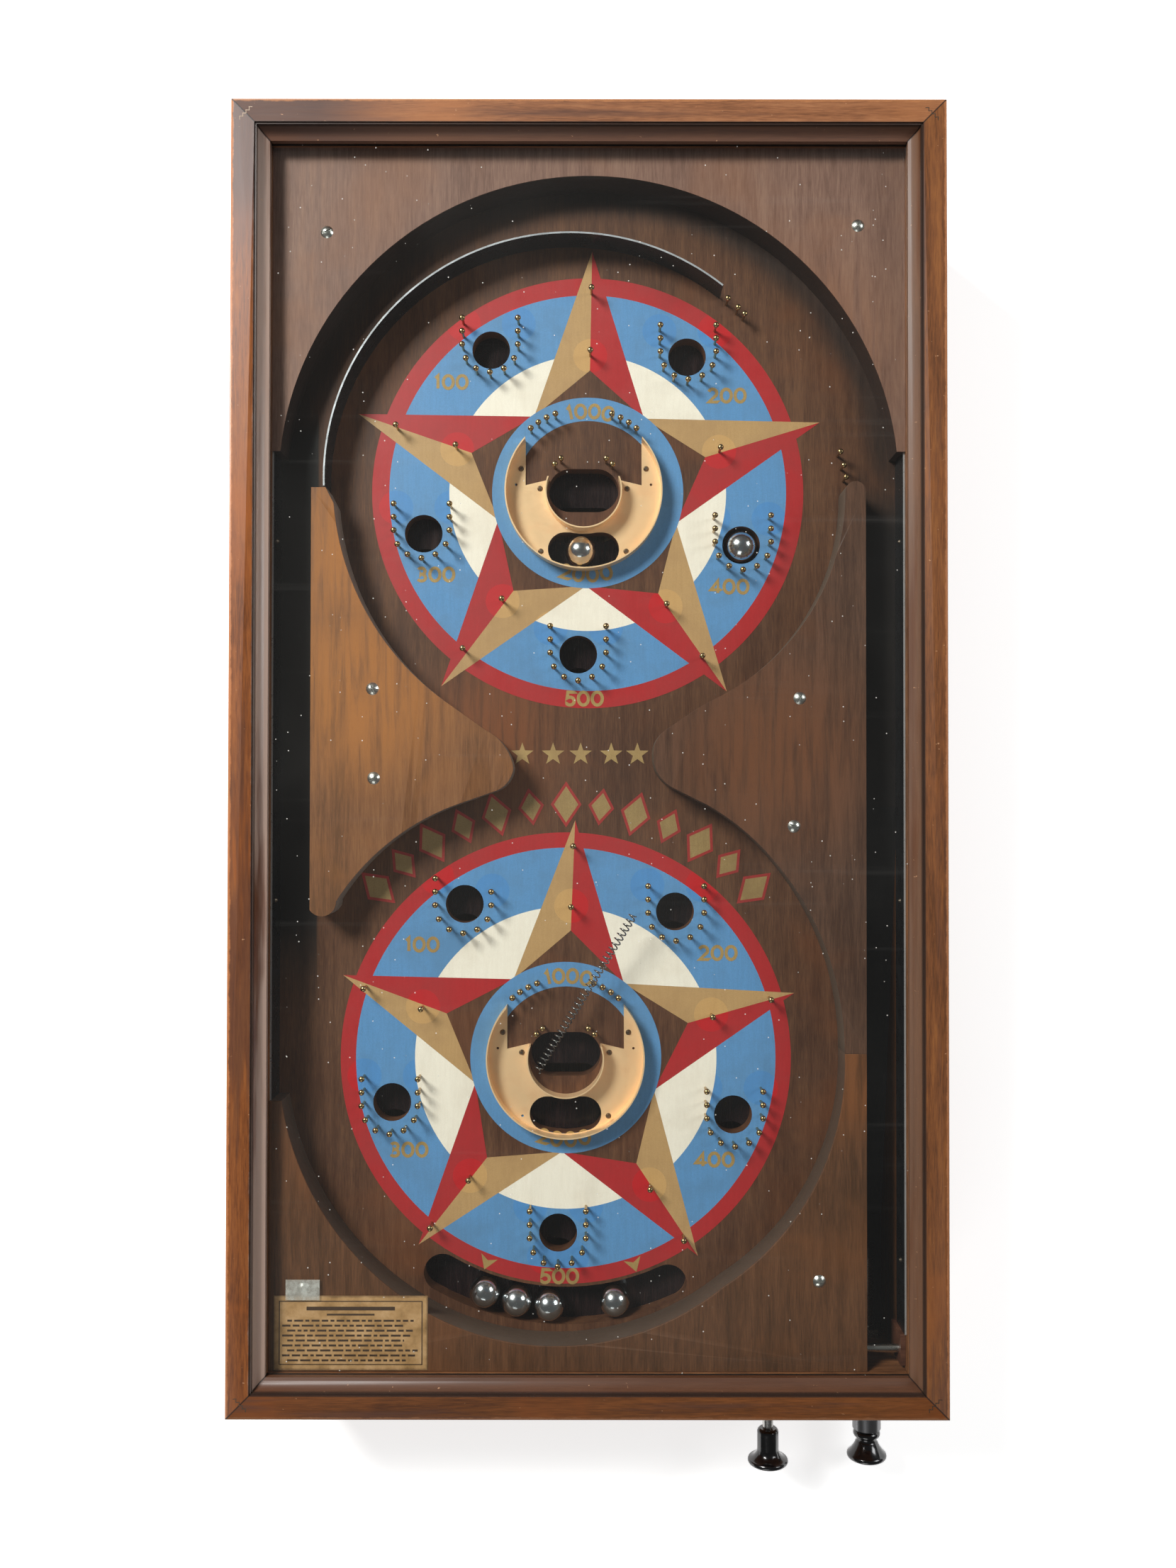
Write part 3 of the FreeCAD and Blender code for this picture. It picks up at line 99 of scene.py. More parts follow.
# ---------------------------------------------------------------- the table frame, from the CAD
def table_turn():
    """Rotation of the sloping table, read from the way the shutter slides."""
    slide = next(joint for joint in frame["joints"] if joint["name"] == "shutter_slide")
    return Matrix.Rotation(math.atan2(slide["axis"][2], slide["axis"][1]), 3, "X")


TURN = table_turn()


def turned_points(*names):
    points = np.array([vertex.co for name in names for vertex in NODES[name].data.vertices])
    return points @ np.array(TURN)


def table_origin():
    points = turned_points(*RAILS)
    low, high = points.min(0), points.max(0)
    return TURN @ Vector(((low[0] + high[0]) / 2, (low[1] + high[1]) / 2, high[2]))


ORIGIN = table_origin()
PLACE = Matrix.Translation(ORIGIN) @ TURN.to_4x4()
TABLE = PLACE @ Matrix.Scale(MM, 4)


def table_points(*names):
    return (turned_points(*names) - np.array(TURN.transposed() @ ORIGIN)) / MM


def span(*names):
    """Lowest and highest corner of CAD nodes, in the table frame."""
    points = table_points(*names)
    return Vector(points.min(0)), Vector(points.max(0))


def table_mesh(node):
    """Welded copy of a CAD node's mesh, in the table frame."""
    mesh = bmesh.new()
    mesh.from_mesh(NODES[node].data)
    bmesh.ops.transform(mesh, matrix=TABLE.inverted(), verts=mesh.verts)
    bmesh.ops.remove_doubles(mesh, verts=mesh.verts, dist=WELD)
    return mesh


def outlines(node, level):
    """Closed outlines of a CAD node's upward face at one height, as lists of (x, y)."""
    mesh = table_mesh(node)
    mesh.normal_update()
    flat = {face for face in mesh.faces
            if face.normal.z > 0.99 and abs(face.calc_center_median().z - level) < 0.02}
    rims = {edge for edge in mesh.edges if sum(face in flat for face in edge.link_faces) == 1}
    loops = []
    while rims:
        edge = rims.pop()
        start, vertex = edge.verts
        loop = [start, vertex]
        while vertex is not start:
            edge = next((e for e in vertex.link_edges if e in rims), None)
            if edge is None:
                break
            rims.remove(edge)
            vertex = edge.other_vert(vertex)
            loop.append(vertex)
        loops.append([(v.co.x, v.co.y) for v in loop[:-1]])
    mesh.free()
    return loops


def middle(loop):
    xs, ys = zip(*loop)
    return (min(xs) + max(xs)) / 2, (min(ys) + max(ys)) / 2


def island_middles(node):
    """(x, y) of the middle of each separate solid of a CAD node."""
    mesh = table_mesh(node)
    left = set(mesh.verts)
    found = []
    while left:
        stack = [left.pop()]
        island = []
        while stack:
            vertex = stack.pop()
            island.append((vertex.co.x, vertex.co.y))
            for edge in vertex.link_edges:
                other = edge.other_vert(vertex)
                if other in left:
                    left.remove(other)
                    stack.append(other)
        found.append(middle(island))
    mesh.free()
    return sorted(found)


# ---------------------------------------------------------------- places read from the CAD
HALF_X, HALF_Y, _ = span(*RAILS)[1]
PLAY_TOP = span("playfield_board")[1].z
CARD_LOW, CARD_HIGH = span("direction_card")
RAIL_TOP = span("curved_rail")[1].z
BLOCK_TOP = span("arch_block")[1].z
PLAY_OUTLINES = outlines("playfield_board", PLAY_TOP)


def cup_centre(node):
    low, high = span(node)
    radius = (high.x - low.x) / 2
    return (low.x + radius, low.y + radius)


def arch_circle():
    """Centre and radius of the arch over the upper ring."""
    low, high = span("arch_block")
    arc = [(x, y) for loop in outlines("arch_block", BLOCK_TOP) for x, y in loop if y < high.y - 1.0]
    foot = min(abs(x) for x, y in arc if y < low.y + 0.1)
    rise = max(y for x, y in arc) - low.y
    radius = (rise ** 2 + foot ** 2) / (2 * rise)
    return (0.0, low.y + rise - radius), radius


ARCH_CENTRE, ARCH_RADIUS = arch_circle()
UPPER_CUP = cup_centre("upper_cup")
LOWER_CUP = cup_centre("lower_cup")
UPPER_SHIFT = (2.5, 0.3)  # the rings aren't painted quite round their cups
LOWER_SHIFT = (0.1, -0.5)
UPPER_RING = (UPPER_CUP[0] + UPPER_SHIFT[0], UPPER_CUP[1] + UPPER_SHIFT[1])
LOWER_RING = (LOWER_CUP[0] + LOWER_SHIFT[0], LOWER_CUP[1] + LOWER_SHIFT[1])


# ---------------------------------------------------------------- flat drawing
FILM = 0.08  # thickness of a coat of enamel


def polar(centre, radius, degrees):
    turn = math.radians(degrees)
    return (centre[0] + radius * math.cos(turn), centre[1] + radius * math.sin(turn))


def ring(centre, radius, steps=180):
    return [polar(centre, radius, 360 * step / steps) for step in range(steps)]


def inside(loop, x, y):
    hit = False
    previous = loop[-1]
    for point in loop:
        if (point[1] > y) != (previous[1] > y):
            if x < (previous[0] - point[0]) * (y - point[1]) / (previous[1] - point[1]) + point[0]:
                hit = not hit
        previous = point
    return hit


def to_data(name, mesh):
    data = bpy.data.meshes.new(name)
    mesh.to_mesh(data)
    mesh.free()
    return data


def finish_piece(name, data, materials):
    """Object in the row frame, riding on the cabinet, from a mesh drawn in the table frame."""
    for material in materials:
        data.materials.append(material)
    data.transform(TABLE)
    thing = bpy.data.objects.new(name, data)
    bpy.context.scene.collection.objects.link(thing)
    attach(thing, "cabinet")
    return thing


def painted(name, loops, choose, height, thickness, materials):
    """Thin film cut along every loop; choose(x, y) gives each part's material number, or None for bare."""
    points = []
    edges = []
    for loop in loops:
        first = len(points)
        points += [Vector(point) for point in loop]
        edges += [(first + i, first + (i + 1) % len(loop)) for i in range(len(loop))]
    corners, _, triangles, *_ = delaunay_2d_cdt(points, edges, [], 0, 1e-4)
    mesh = bmesh.new()
    vertices = [mesh.verts.new((point.x, point.y, height)) for point in corners]
    for triangle in triangles:
        x = sum(corners[i].x for i in triangle) / 3
        y = sum(corners[i].y for i in triangle) / 3
        number = choose(x, y)
        if number is not None:
            face = mesh.faces.new([vertices[i] for i in triangle])
            face.material_index = number
    bmesh.ops.delete(mesh, geom=[v for v in mesh.verts if not v.link_faces], context="VERTS")
    for face in mesh.faces:
        if face.normal.z < 0:
            face.normal_flip()
    thing = finish_piece(name, to_data(name, mesh), materials)
    film = thing.modifiers.new("film", "SOLIDIFY")
    film.thickness = thickness * MM
    film.offset = -1


def painted_shapes(name, layers, height, materials):
    """Film of whole shapes, from (loop, material number) pairs; the first shape at a point wins."""
    def choose(x, y):
        return next((number for loop, number in layers if inside(loop, x, y)), None)

    painted(name, [loop for loop, _ in layers], choose, height, FILM, materials)


# ---------------------------------------------------------------- shader graphs
def linear(red, green, blue):
    """sRGB from 0 to 255 as the linear colour that shaders take."""
    channels = []
    for value in (red, green, blue):
        share = value / 255
        channels.append(share / 12.92 if share <= 0.04045 else ((share + 0.055) / 1.055) ** 2.4)
    return (*channels, 1.0)


class Graph:
    """One procedural material. Distances in its textures are millimetres of the table frame."""

    def __init__(self, name, **constants):
        self.material = bpy.data.materials.new(name)
        self.material.use_nodes = True
        self.tree = self.material.node_tree
        self.shader = self.tree.nodes["Principled BSDF"]
        for socket, value in constants.items():
            self.shader.inputs[socket.replace("_", " ")].default_value = value

    def add(self, kind, inputs=(), **settings):
        node = self.tree.nodes.new("ShaderNode" + kind)
        for name, value in settings.items():
            setattr(node, name, value)
        for socket, value in dict(inputs).items():
            self.feed(node.inputs[socket], value)
        return node

    def feed(self, socket, value):
        if isinstance(value, bpy.types.NodeSocket):
            self.tree.links.new(value, socket)
        else:
            socket.default_value = value

    def place(self, stretch=(1, 1, 1), offset=(0, 0, 0)):
        """Point of the surface in the table frame, times stretch."""
        seen = self.add("TexCoord").outputs["Object"]
        back = TURN.transposed()
        turn = back.to_euler()
        shift = (back @ ORIGIN) / -MM
        table = self.add("Mapping", {"Vector": seen, "Scale": (1 / MM,) * 3, "Rotation": turn,
                                     "Location": shift}).outputs[0]
        return self.add("Mapping", {"Vector": table, "Scale": stretch, "Location": offset}).outputs[0]

    def noise(self, vector, scale, detail=4.0, roughness=0.55, distortion=0.0):
        return self.add("TexNoise", {"Vector": vector, "Scale": scale, "Detail": detail,
                                     "Roughness": roughness, "Distortion": distortion}).outputs["Fac"]

    def ramp(self, factor, *stops):
        node = self.add("ValToRGB", {"Fac": factor})
        elements = node.color_ramp.elements
        while len(elements) < len(stops):
            elements.new(0.5)
        for element, (position, colour) in zip(elements, stops):
            element.position = position
            element.color = colour
        return node.outputs["Color"]

    def step(self, value, low, high, start=0.0, end=1.0):
        """Smooth step of value between low and high, from start to end."""
        return self.add("MapRange", {"Value": value, "From Min": low, "From Max": high, "To Min": start,
                                     "To Max": end}, interpolation_type="SMOOTHSTEP").outputs["Result"]

    def sum(self, operation, first, second=0.0):
        return self.add("Math", {0: first, 1: second}, operation=operation).outputs[0]

    def mix(self, factor, first, second, blend="MIX"):
        node = self.add("Mix", data_type="RGBA", blend_type=blend)
        self.feed(node.inputs["Factor"], factor)
        self.feed(node.inputs[6], first)
        self.feed(node.inputs[7], second)
        return node.outputs[2]

    def split(self, vector):
        return self.add("SeparateXYZ", {0: vector}).outputs

    def spot(self, where, x, y, inner, outer):
        """1 within inner of a point of the table, falling to 0 at outer."""
        flat = self.add("VectorMath", {0: where, 1: (1, 1, 0)}, operation="MULTIPLY").outputs[0]
        away = self.add("VectorMath", {0: flat, 1: (x, y, 0)}, operation="DISTANCE").outputs["Value"]
        return self.step(away, inner, outer, 1.0, 0.0)

    def colour(self, value):
        self.feed(self.shader.inputs["Base Color"], value)

    def rough(self, value, low, high):
        self.feed(self.shader.inputs["Roughness"], self.step(value, 0.25, 0.75, low, high))

    def bump(self, height, distance, strength=1.0):
        node = self.add("Bump", {"Height": height, "Distance": distance * MM, "Strength": strength})
        self.feed(self.shader.inputs["Normal"], node.outputs["Normal"])


# ---------------------------------------------------------------- materials
GRAIN = {"x": (0.07, 1.0, 1.0), "y": (1.0, 0.07, 1.0)}


def wood(name, dark, body, light, grain="y", warm=None, warm_spots=(), blotch=0.35, rough=(0.46, 0.62),
         seed=0.0, sides=None, coat=0.0):
    """Stained and varnished wood: fine fibres, soft figure, open pores and blotches of warmer stain."""
    graph = Graph(name, Coat_Weight=coat, Coat_Roughness=0.28, Specular_IOR_Level=0.3)
    along = GRAIN[grain]
    shift = (seed * 7.0, seed * 11.0, seed)
    flow = graph.place(along, shift)
    fibre = graph.noise(flow, 1.5, 4.0, 0.6)
    streak = graph.noise(flow, 0.2, 5.0, 0.6, 0.5)
    figure = graph.noise(graph.place([math.sqrt(share) for share in along], shift), 0.022, 3.0, 0.5, 0.8)
    pores = graph.noise(flow, 3.0, 2.0, 0.5)
    cloud = graph.noise(graph.place(offset=shift), 0.014, 3.0, 0.55, 0.4)
    tone = graph.sum("ADD", graph.sum("MULTIPLY", fibre, 0.42), graph.sum("MULTIPLY", streak, 0.35))
    tone = graph.sum("ADD", tone, graph.sum("MULTIPLY", figure, 0.23))
    stain = graph.ramp(tone, (0.4, linear(*dark)), (0.5, linear(*body)), (0.61, linear(*light)))
    if warm:
        patches = graph.step(cloud, 0.5, 0.7, 0.0, blotch)
        for x, y, inner, outer in warm_spots:
            glow = graph.spot(graph.place(), x, y, inner, outer)
            broken = graph.sum("MULTIPLY", glow, graph.step(streak, 0.3, 0.6, 0.25, 1.0))
            patches = graph.sum("MAXIMUM", patches, broken)
        stain = graph.mix(patches, stain, linear(*warm))
    open_pores = graph.step(pores, 0.6, 0.74, 0.0, 0.35)
    tinted = graph.mix(open_pores, stain, graph.mix(1.0, stain, linear(150, 138, 130), "MULTIPLY"))
    # faces below the block's top take the side tone: painted shade where it is darker, painted reflection
    # where it is lighter and greyer
    if sides:
        height = graph.split(graph.place())[2]
        below = graph.step(height, BLOCK_TOP - 0.9, BLOCK_TOP - 0.3, 0.85, 0.0)
        tinted = graph.mix(below, tinted, linear(*sides))
    graph.colour(tinted)
    graph.rough(streak, *rough)
    graph.bump(graph.sum("SUBTRACT", graph.sum("MULTIPLY", fibre, 0.6), open_pores), 0.05, 0.45)
    return graph


def shaded_board(graph):
    """Painted shade on the playfield along the foot of the arch, and near-black colour down both lanes."""
    where = graph.place()
    x, y, _ = graph.split(where)
    flat = graph.add("VectorMath", {0: where, 1: (1, 1, 0)}, operation="MULTIPLY").outputs[0]
    away = graph.add("VectorMath", {0: flat, 1: (*ARCH_CENTRE, 0)}, operation="DISTANCE").outputs["Value"]
    # painted shade: the board darkens towards the arch's wall, high up only
    rim = graph.step(away, ARCH_RADIUS - 20.0, ARCH_RADIUS - 3.0, 0.0, 0.75)
    high_up = graph.step(y, ARCH_CENTRE[1] - 40.0, ARCH_CENTRE[1] + 30.0)
    dark = graph.sum("MULTIPLY", rim, high_up)
    # near-black colour in the lane left of the left island, and in the lane right of the right island below
    # its head
    left_low, left_high = span("left_island")
    left = graph.step(x, left_low.x - 1.0, left_low.x + 1.0, 0.94, 0.0)
    left = graph.sum("MULTIPLY", left, graph.step(y, left_low.y - 75.0, left_low.y + 5.0))
    left = graph.sum("MULTIPLY", left, graph.step(y, left_high.y + 30.0, left_high.y + 75.0, 1.0, 0.0))
    right_high = span("right_island")[1]
    right = graph.step(x, right_high.x - 1.0, right_high.x + 1.0, 0.0, 0.94)
    right = graph.sum("MULTIPLY", right, graph.step(y, right_high.y - 30.0, right_high.y + 30.0, 1.0, 0.0))
    dark = graph.sum("MAXIMUM", dark, graph.sum("MAXIMUM", left, right))
    base = graph.shader.inputs["Base Color"].links[0].from_socket
    graph.colour(graph.mix(dark, base, linear(17, 16, 16)))
    return graph.material


def frame_wood(name, grain, seed, tones, coat):
    """The lid's moulding: polished band, rubbed bare at its outer edge, dark at the step and the mitres, a
    painted reflection darkening the rear left corner and a painted highlight in the left rail's cove.
    """
    dark, body, light, warm, cove_tone_and_sheen, edge_tone = tones
    graph = wood(name, dark, body, light, grain, warm=warm, blotch=0.6, seed=seed, coat=coat,
                 rough=(0.52 - 0.2 * coat, 0.66 - 0.2 * coat))
    x, y, z = graph.split(graph.place())
    from_side = graph.sum("SUBTRACT", HALF_X, graph.sum("ABSOLUTE", x))
    from_end = graph.sum("SUBTRACT", HALF_Y, graph.sum("ABSOLUTE", y))
    inward = graph.sum("MINIMUM", from_side, from_end)
    ragged = graph.sum("MULTIPLY", graph.noise(graph.place(), 0.12, 6.0, 0.7), 3.0)
    edge = graph.sum("ADD", inward, ragged)
    base = graph.shader.inputs["Base Color"].links[0].from_socket
    grime = graph.noise(graph.place(GRAIN[grain], (seed, 0, 0)), 0.06, 4.0, 0.6)
    base = graph.mix(graph.step(grime, 0.5, 0.64, 0.0, 0.62), base, linear(74, 48, 38))
    # painted reflection: darker purple-brown towards the rear left corner
    painted_corner_reflection = graph.spot(graph.place(), -HALF_X, HALF_Y, 45.0, 115.0)
    base = graph.mix(graph.sum("MULTIPLY", painted_corner_reflection, 0.85), base, linear(66, 48, 44))
    # cove colour; on the left rail its light grey is a painted highlight
    cove = graph.mix(graph.step(grime, 0.48, 0.66), linear(*cove_tone_and_sheen), linear(*dark))
    base = graph.mix(graph.step(edge, 14.5, 16.5, 0.0, 0.8), base, cove)
    rubbed = graph.sum("MULTIPLY", graph.step(edge, 2.6, 3.6, 0.8, 0.0), graph.step(z, -2.6, -0.8, 0.1, 1.0))
    base = graph.mix(rubbed, base, linear(*edge_tone))
    dents = graph.noise(graph.place((0.5, 0.9, 0.5), (0, seed, 0)), 0.5, 3.0, 0.6)
    nicks = graph.step(dents, 0.7, 0.74, 0.0, 0.6)
    base = graph.mix(nicks, base, linear(196, 150, 112))
    away_from_step = graph.sum("ABSOLUTE", graph.sum("SUBTRACT", inward, STEP_LINE))
    base = graph.mix(graph.step(away_from_step, 0.5, 1.1, 0.85, 0.0), base, linear(30, 20, 16))
    off_mitre = graph.sum("ABSOLUTE", graph.sum("SUBTRACT", from_side, from_end))
    graph.colour(graph.mix(graph.step(off_mitre, 0.3, 0.8, 0.85, 0.0), base, linear(26, 17, 13)))
    return graph.material


def paint(name, colour, age=0.5):
    """Sign painter's enamel on the board: faint grain of the wood under it, stipple and tiny chips."""
    graph = Graph(name)
    grain = graph.noise(graph.place(GRAIN["y"]), 0.9, 4.0, 0.6)
    cloud = graph.noise(graph.place(), 0.04, 4.0, 0.6)
    stipple = graph.noise(graph.place(), 1.3, 3.0, 0.6)
    shade = graph.mix(1.0, linear(*colour), linear(222, 214, 206), "MULTIPLY")
    tone = graph.mix(graph.step(grain, 0.35, 0.7, 0.0, 0.5 * age), linear(*colour), shade)
    tone = graph.mix(graph.step(cloud, 0.42, 0.72, 0.0, age), tone, shade)
    tone = graph.mix(graph.step(stipple, 0.4, 0.7, 0.0, 0.7 * age), tone, shade)
    flakes = graph.noise(graph.place((1.0, 0.6, 1.0), (40, 9, 0)), 0.7, 3.0, 0.6)
    chipped = graph.step(flakes, 0.76, 0.8, 0.0, 0.6)
    graph.colour(graph.mix(chipped, tone, linear(96, 74, 56)))
    graph.rough(cloud, 0.36, 0.52)
    graph.bump(graph.sum("SUBTRACT", stipple, chipped), 0.025, 0.4)
    return graph.material


def metal(name, colour, rough=(0.2, 0.4), metallic=1.0, stain=None, worn=0.45):
    """Metal with fingerprints, faint polishing marks and tarnish in patches."""
    graph = Graph(name, Metallic=metallic)
    where = graph.place()
    cloud = graph.noise(where, 0.07, 5.0, 0.6)
    marks = graph.noise(graph.place((0.25, 2.2, 1.0)), 0.6, 4.0, 0.7)
    spots = graph.noise(where, 0.5, 3.0, 0.6)
    tarnish = linear(*(stain or [0.55 * channel for channel in colour]))
    tone = graph.mix(graph.step(cloud, 0.45, 0.75, 0.0, worn), linear(*colour), tarnish)
    graph.colour(graph.mix(graph.step(spots, 0.66, 0.72, 0.0, worn), tone, tarnish))
    mixed = graph.sum("ADD", graph.sum("MULTIPLY", marks, 0.5), graph.sum("MULTIPLY", cloud, 0.5))
    graph.rough(mixed, *rough)
    graph.bump(marks, 0.006, 0.2)
    return graph.material


def edge_metal(name, top_highlight, side):
    """Strip standing on edge: a painted highlight along its upper edge, near-black sides."""
    graph = Graph(name, Metallic=0.5)
    where = graph.place()
    # random tone noise, which also frays the edge of the painted highlight
    worn = graph.noise(where, 0.12, 4.0, 0.6)
    height = graph.sum("ADD", graph.split(where)[2], graph.sum("MULTIPLY", worn, 0.03))
    tone = graph.mix(graph.step(worn, 0.4, 0.7), linear(*side), linear(*(1.5 * channel for channel in side)))
    # painted highlight along the upper edge
    graph.colour(graph.mix(graph.step(height, RAIL_TOP - 0.25, RAIL_TOP - 0.1), tone, linear(*top_highlight)))
    graph.rough(worn, 0.22, 0.4)
    graph.bump(graph.noise(where, 0.9, 3.0), 0.004, 0.2)
    return graph.material


def hard_rubber(name):
    """Moulded black knob: deep gloss, faint dust and a fine skin."""
    graph = Graph(name, Coat_Weight=0.7, Coat_Roughness=0.1)
    where = graph.place()
    rubbed = graph.noise(where, 0.35, 4.0, 0.6)
    graph.colour(graph.ramp(rubbed, (0.3, linear(6, 6, 8)), (0.7, linear(15, 15, 17))))
    graph.rough(rubbed, 0.16, 0.26)
    graph.bump(rubbed, 0.002, 0.1)
    return graph.material


def card_stock(name, dark, body, light):
    """Old printed card: foxed, darker at its rim, with fibres."""
    graph = Graph(name)
    where = graph.place()
    fox = graph.noise(where, 0.09, 6.0, 0.65)
    fibre = graph.noise(graph.place((1.0, 3.0, 1.0)), 1.4, 4.0, 0.7)
    x, y, _ = graph.split(where)
    near_x, near_y = (
        graph.sum("MINIMUM", graph.sum("SUBTRACT", along, low), graph.sum("SUBTRACT", high, along))
        for along, low, high in ((x, CARD_LOW.x, CARD_HIGH.x), (y, CARD_LOW.y, CARD_HIGH.y)))
    rim = graph.sum("ADD", graph.sum("MINIMUM", near_x, near_y), graph.sum("MULTIPLY", fox, 2.0))
    base = graph.ramp(fox, (0.3, linear(*dark)), (0.5, linear(*body)), (0.7, linear(*light)))
    base = graph.mix(graph.step(fibre, 0.55, 0.75, 0.0, 0.3), base, linear(*dark))
    graph.colour(graph.mix(graph.step(rim, 1.0, 2.6, 0.6, 0.0), base, linear(84, 58, 36)))
    graph.rough(fox, 0.55, 0.75)
    graph.bump(fibre, 0.03, 0.5)
    return graph.material


def clear_tape(name):
    """Aged clear tape: mostly see-through, milky where it has lifted."""
    graph = Graph(name, IOR=1.45)
    where = graph.place()
    milk = graph.noise(where, 0.22, 4.0, 0.6)
    wrinkle = graph.noise(graph.place((1.0, 0.3, 1.0)), 0.5, 3.0, 0.6, 1.0)
    graph.colour(graph.ramp(milk, (0.3, linear(196, 190, 180)), (0.7, linear(222, 220, 214))))
    graph.feed(graph.shader.inputs["Alpha"], graph.step(milk, 0.4, 0.7, 0.3, 0.5))
    graph.rough(wrinkle, 0.14, 0.35)
    graph.bump(wrinkle, 0.02, 0.2)
    return graph.material


def window_glass(name):
    """Flat pane: clear, with a film of dust, specks and long wiping streaks."""
    graph = Graph(name)
    tree = graph.tree
    tree.nodes.remove(graph.shader)
    where = graph.place()
    film = graph.noise(where, 0.006, 3.0, 0.5, 0.5)
    slant = graph.add("Mapping", {"Vector": where, "Rotation": (0, 0, math.radians(34)),
                                  "Scale": (0.01, 0.3, 1.0)}).outputs[0]
    wipes = graph.noise(slant, 0.35, 6.0, 0.6)
    cells = graph.add("TexVoronoi", {"Vector": where, "Scale": 0.16}, feature="F1")
    speck = graph.step(cells.outputs["Distance"], 0.04, 0.08, 1.0, 0.0)
    chosen = graph.step(graph.split(cells.outputs["Color"])[0], 0.7, 0.74)
    specks = graph.sum("MULTIPLY", graph.sum("MULTIPLY", speck, chosen), 0.6)
    streaks = graph.step(wipes, 0.6, 0.85, 0.0, 0.02)
    haze = graph.sum("ADD", graph.step(film, 0.35, 0.75, 0.001, 0.006), streaks)
    clear = graph.add("BsdfTransparent", {"Color": linear(252, 254, 253)})
    gloss = graph.add("BsdfGlossy", {"Color": (1, 1, 1, 1), "Roughness": 0.03})
    slanting = graph.add("LayerWeight", {"Blend": 0.5}).outputs["Facing"]
    mirrored = graph.sum("ADD", graph.sum("MULTIPLY", graph.sum("POWER", slanting, 5.0), 0.96), 0.035)
    pane = graph.add("MixShader", {0: mirrored, 1: clear.outputs[0], 2: gloss.outputs[0]})
    dust = graph.add("BsdfDiffuse", {"Color": linear(232, 228, 222)})
    soiled = graph.sum("MAXIMUM", haze, specks)
    both = graph.add("MixShader", {0: soiled, 1: pane.outputs[0], 2: dust.outputs[0]})
    tree.links.new(both.outputs[0], tree.nodes["Material Output"].inputs["Surface"])
    return graph.material


# tones: dark, body, light, warm, cove and rubbed edge; the left rail's light grey cove tone is a painted
# highlight
FRAME_LEFT = ((96, 52, 23), (127, 71, 30), (147, 87, 39), (153, 84, 32), (180, 158, 145), (184, 116, 68))
FRAME_RIGHT = ((84, 49, 24), (110, 65, 32), (131, 81, 39), (133, 77, 35), (95, 72, 57), (158, 104, 66))
FRAME_REAR = ((102, 63, 38), (132, 84, 52), (150, 101, 65), (153, 97, 56), (83, 61, 52), (168, 110, 66))
FRAME_FRONT = ((68, 35, 11), (89, 49, 16), (110, 62, 24), (112, 58, 18), (78, 52, 38), (118, 78, 50))
CABINET = ((84, 50, 28), (112, 70, 42), (138, 90, 56))
WOODS = {
    "left_frame_rail": frame_wood("frame_wood_left", "y", 11.0, FRAME_LEFT, 0.6),
    "right_frame_rail": frame_wood("frame_wood_right", "y", 47.0, FRAME_RIGHT, 0.1),
    "front_frame_rail": frame_wood("frame_wood_front", "x", 83.0, FRAME_FRONT, 0.2),
    "rear_frame_rail": frame_wood("frame_wood_rear", "x", 120.0, FRAME_REAR, 0.1),
}
SIDE_WOOD = wood("cabinet_wood_long", *CABINET, "y", warm=(150, 94, 54), seed=5.0).material
END_WOOD = wood("cabinet_wood_cross", *CABINET, "x", warm=(150, 94, 54), seed=9.0).material
PLAY_WOOD = shaded_board(wood("playfield_wood", (69, 41, 26), (85, 53, 34), (102, 66, 42), "y",
                              warm=(118, 66, 34), warm_spots=[(-60.0, 20.0, 5.0, 60.0)], seed=3.0))
# side tones: the arch's near-black wall, partly its own dark paint and partly painted shade; painted
# reflection on the grey-brown walls of the islands and the bottom block
ARCH_WOOD = wood("arch_wood", (104, 74, 62), (120, 88, 75), (135, 102, 86), "y", warm=(135, 90, 64),
                 warm_spots=[(120.0, 240.0, 5.0, 90.0)], seed=21.0, sides=(20, 17, 16)).material
LEFT_WOOD = wood("left_island_wood", (99, 64, 38), (119, 76, 46), (133, 89, 54), "y", warm=(160, 100, 46),
                 warm_spots=[(-135.0, 40.0, 20.0, 80.0), (-140.0, 120.0, 10.0, 80.0)], seed=33.0,
                 sides=(136, 124, 114)).material
RIGHT_WOOD = wood("right_island_wood", (65, 41, 29), (80, 53, 38), (96, 64, 47), "y", warm=(105, 62, 36),
                  warm_spots=[(110.0, 0.0, 10.0, 90.0)], seed=55.0, sides=(92, 78, 66)).material
BOTTOM_WOOD = wood("bottom_block_wood", (71, 45, 26), (88, 55, 33), (104, 66, 40), "y", warm=(118, 70, 36),
                   warm_spots=[(156.0, -190.0, 10.0, 50.0), (-150.0, -235.0, 5.0, 45.0)], seed=71.0,
                   sides=(80, 66, 56)).material
INNER_WOOD = wood("inner_wood", (120, 92, 62), (150, 118, 82), (176, 142, 102), "y", warm=(150, 100, 60),
                  seed=91.0, rough=(0.6, 0.8)).material
DARK_WOOD = wood("lane_wood", (14, 12, 12), (20, 18, 18), (30, 26, 25), "y", seed=101.0).material
CHEEK_WOOD = wood("cheek_wood", (65, 36, 23), (88, 51, 35), (106, 67, 49), "x", seed=7.0).material
SHUTTER_WOOD = wood("shutter_paint", (18, 12, 13), (30, 19, 20), (48, 33, 31), "y", seed=13.0,
                    rough=(0.16, 0.3)).material

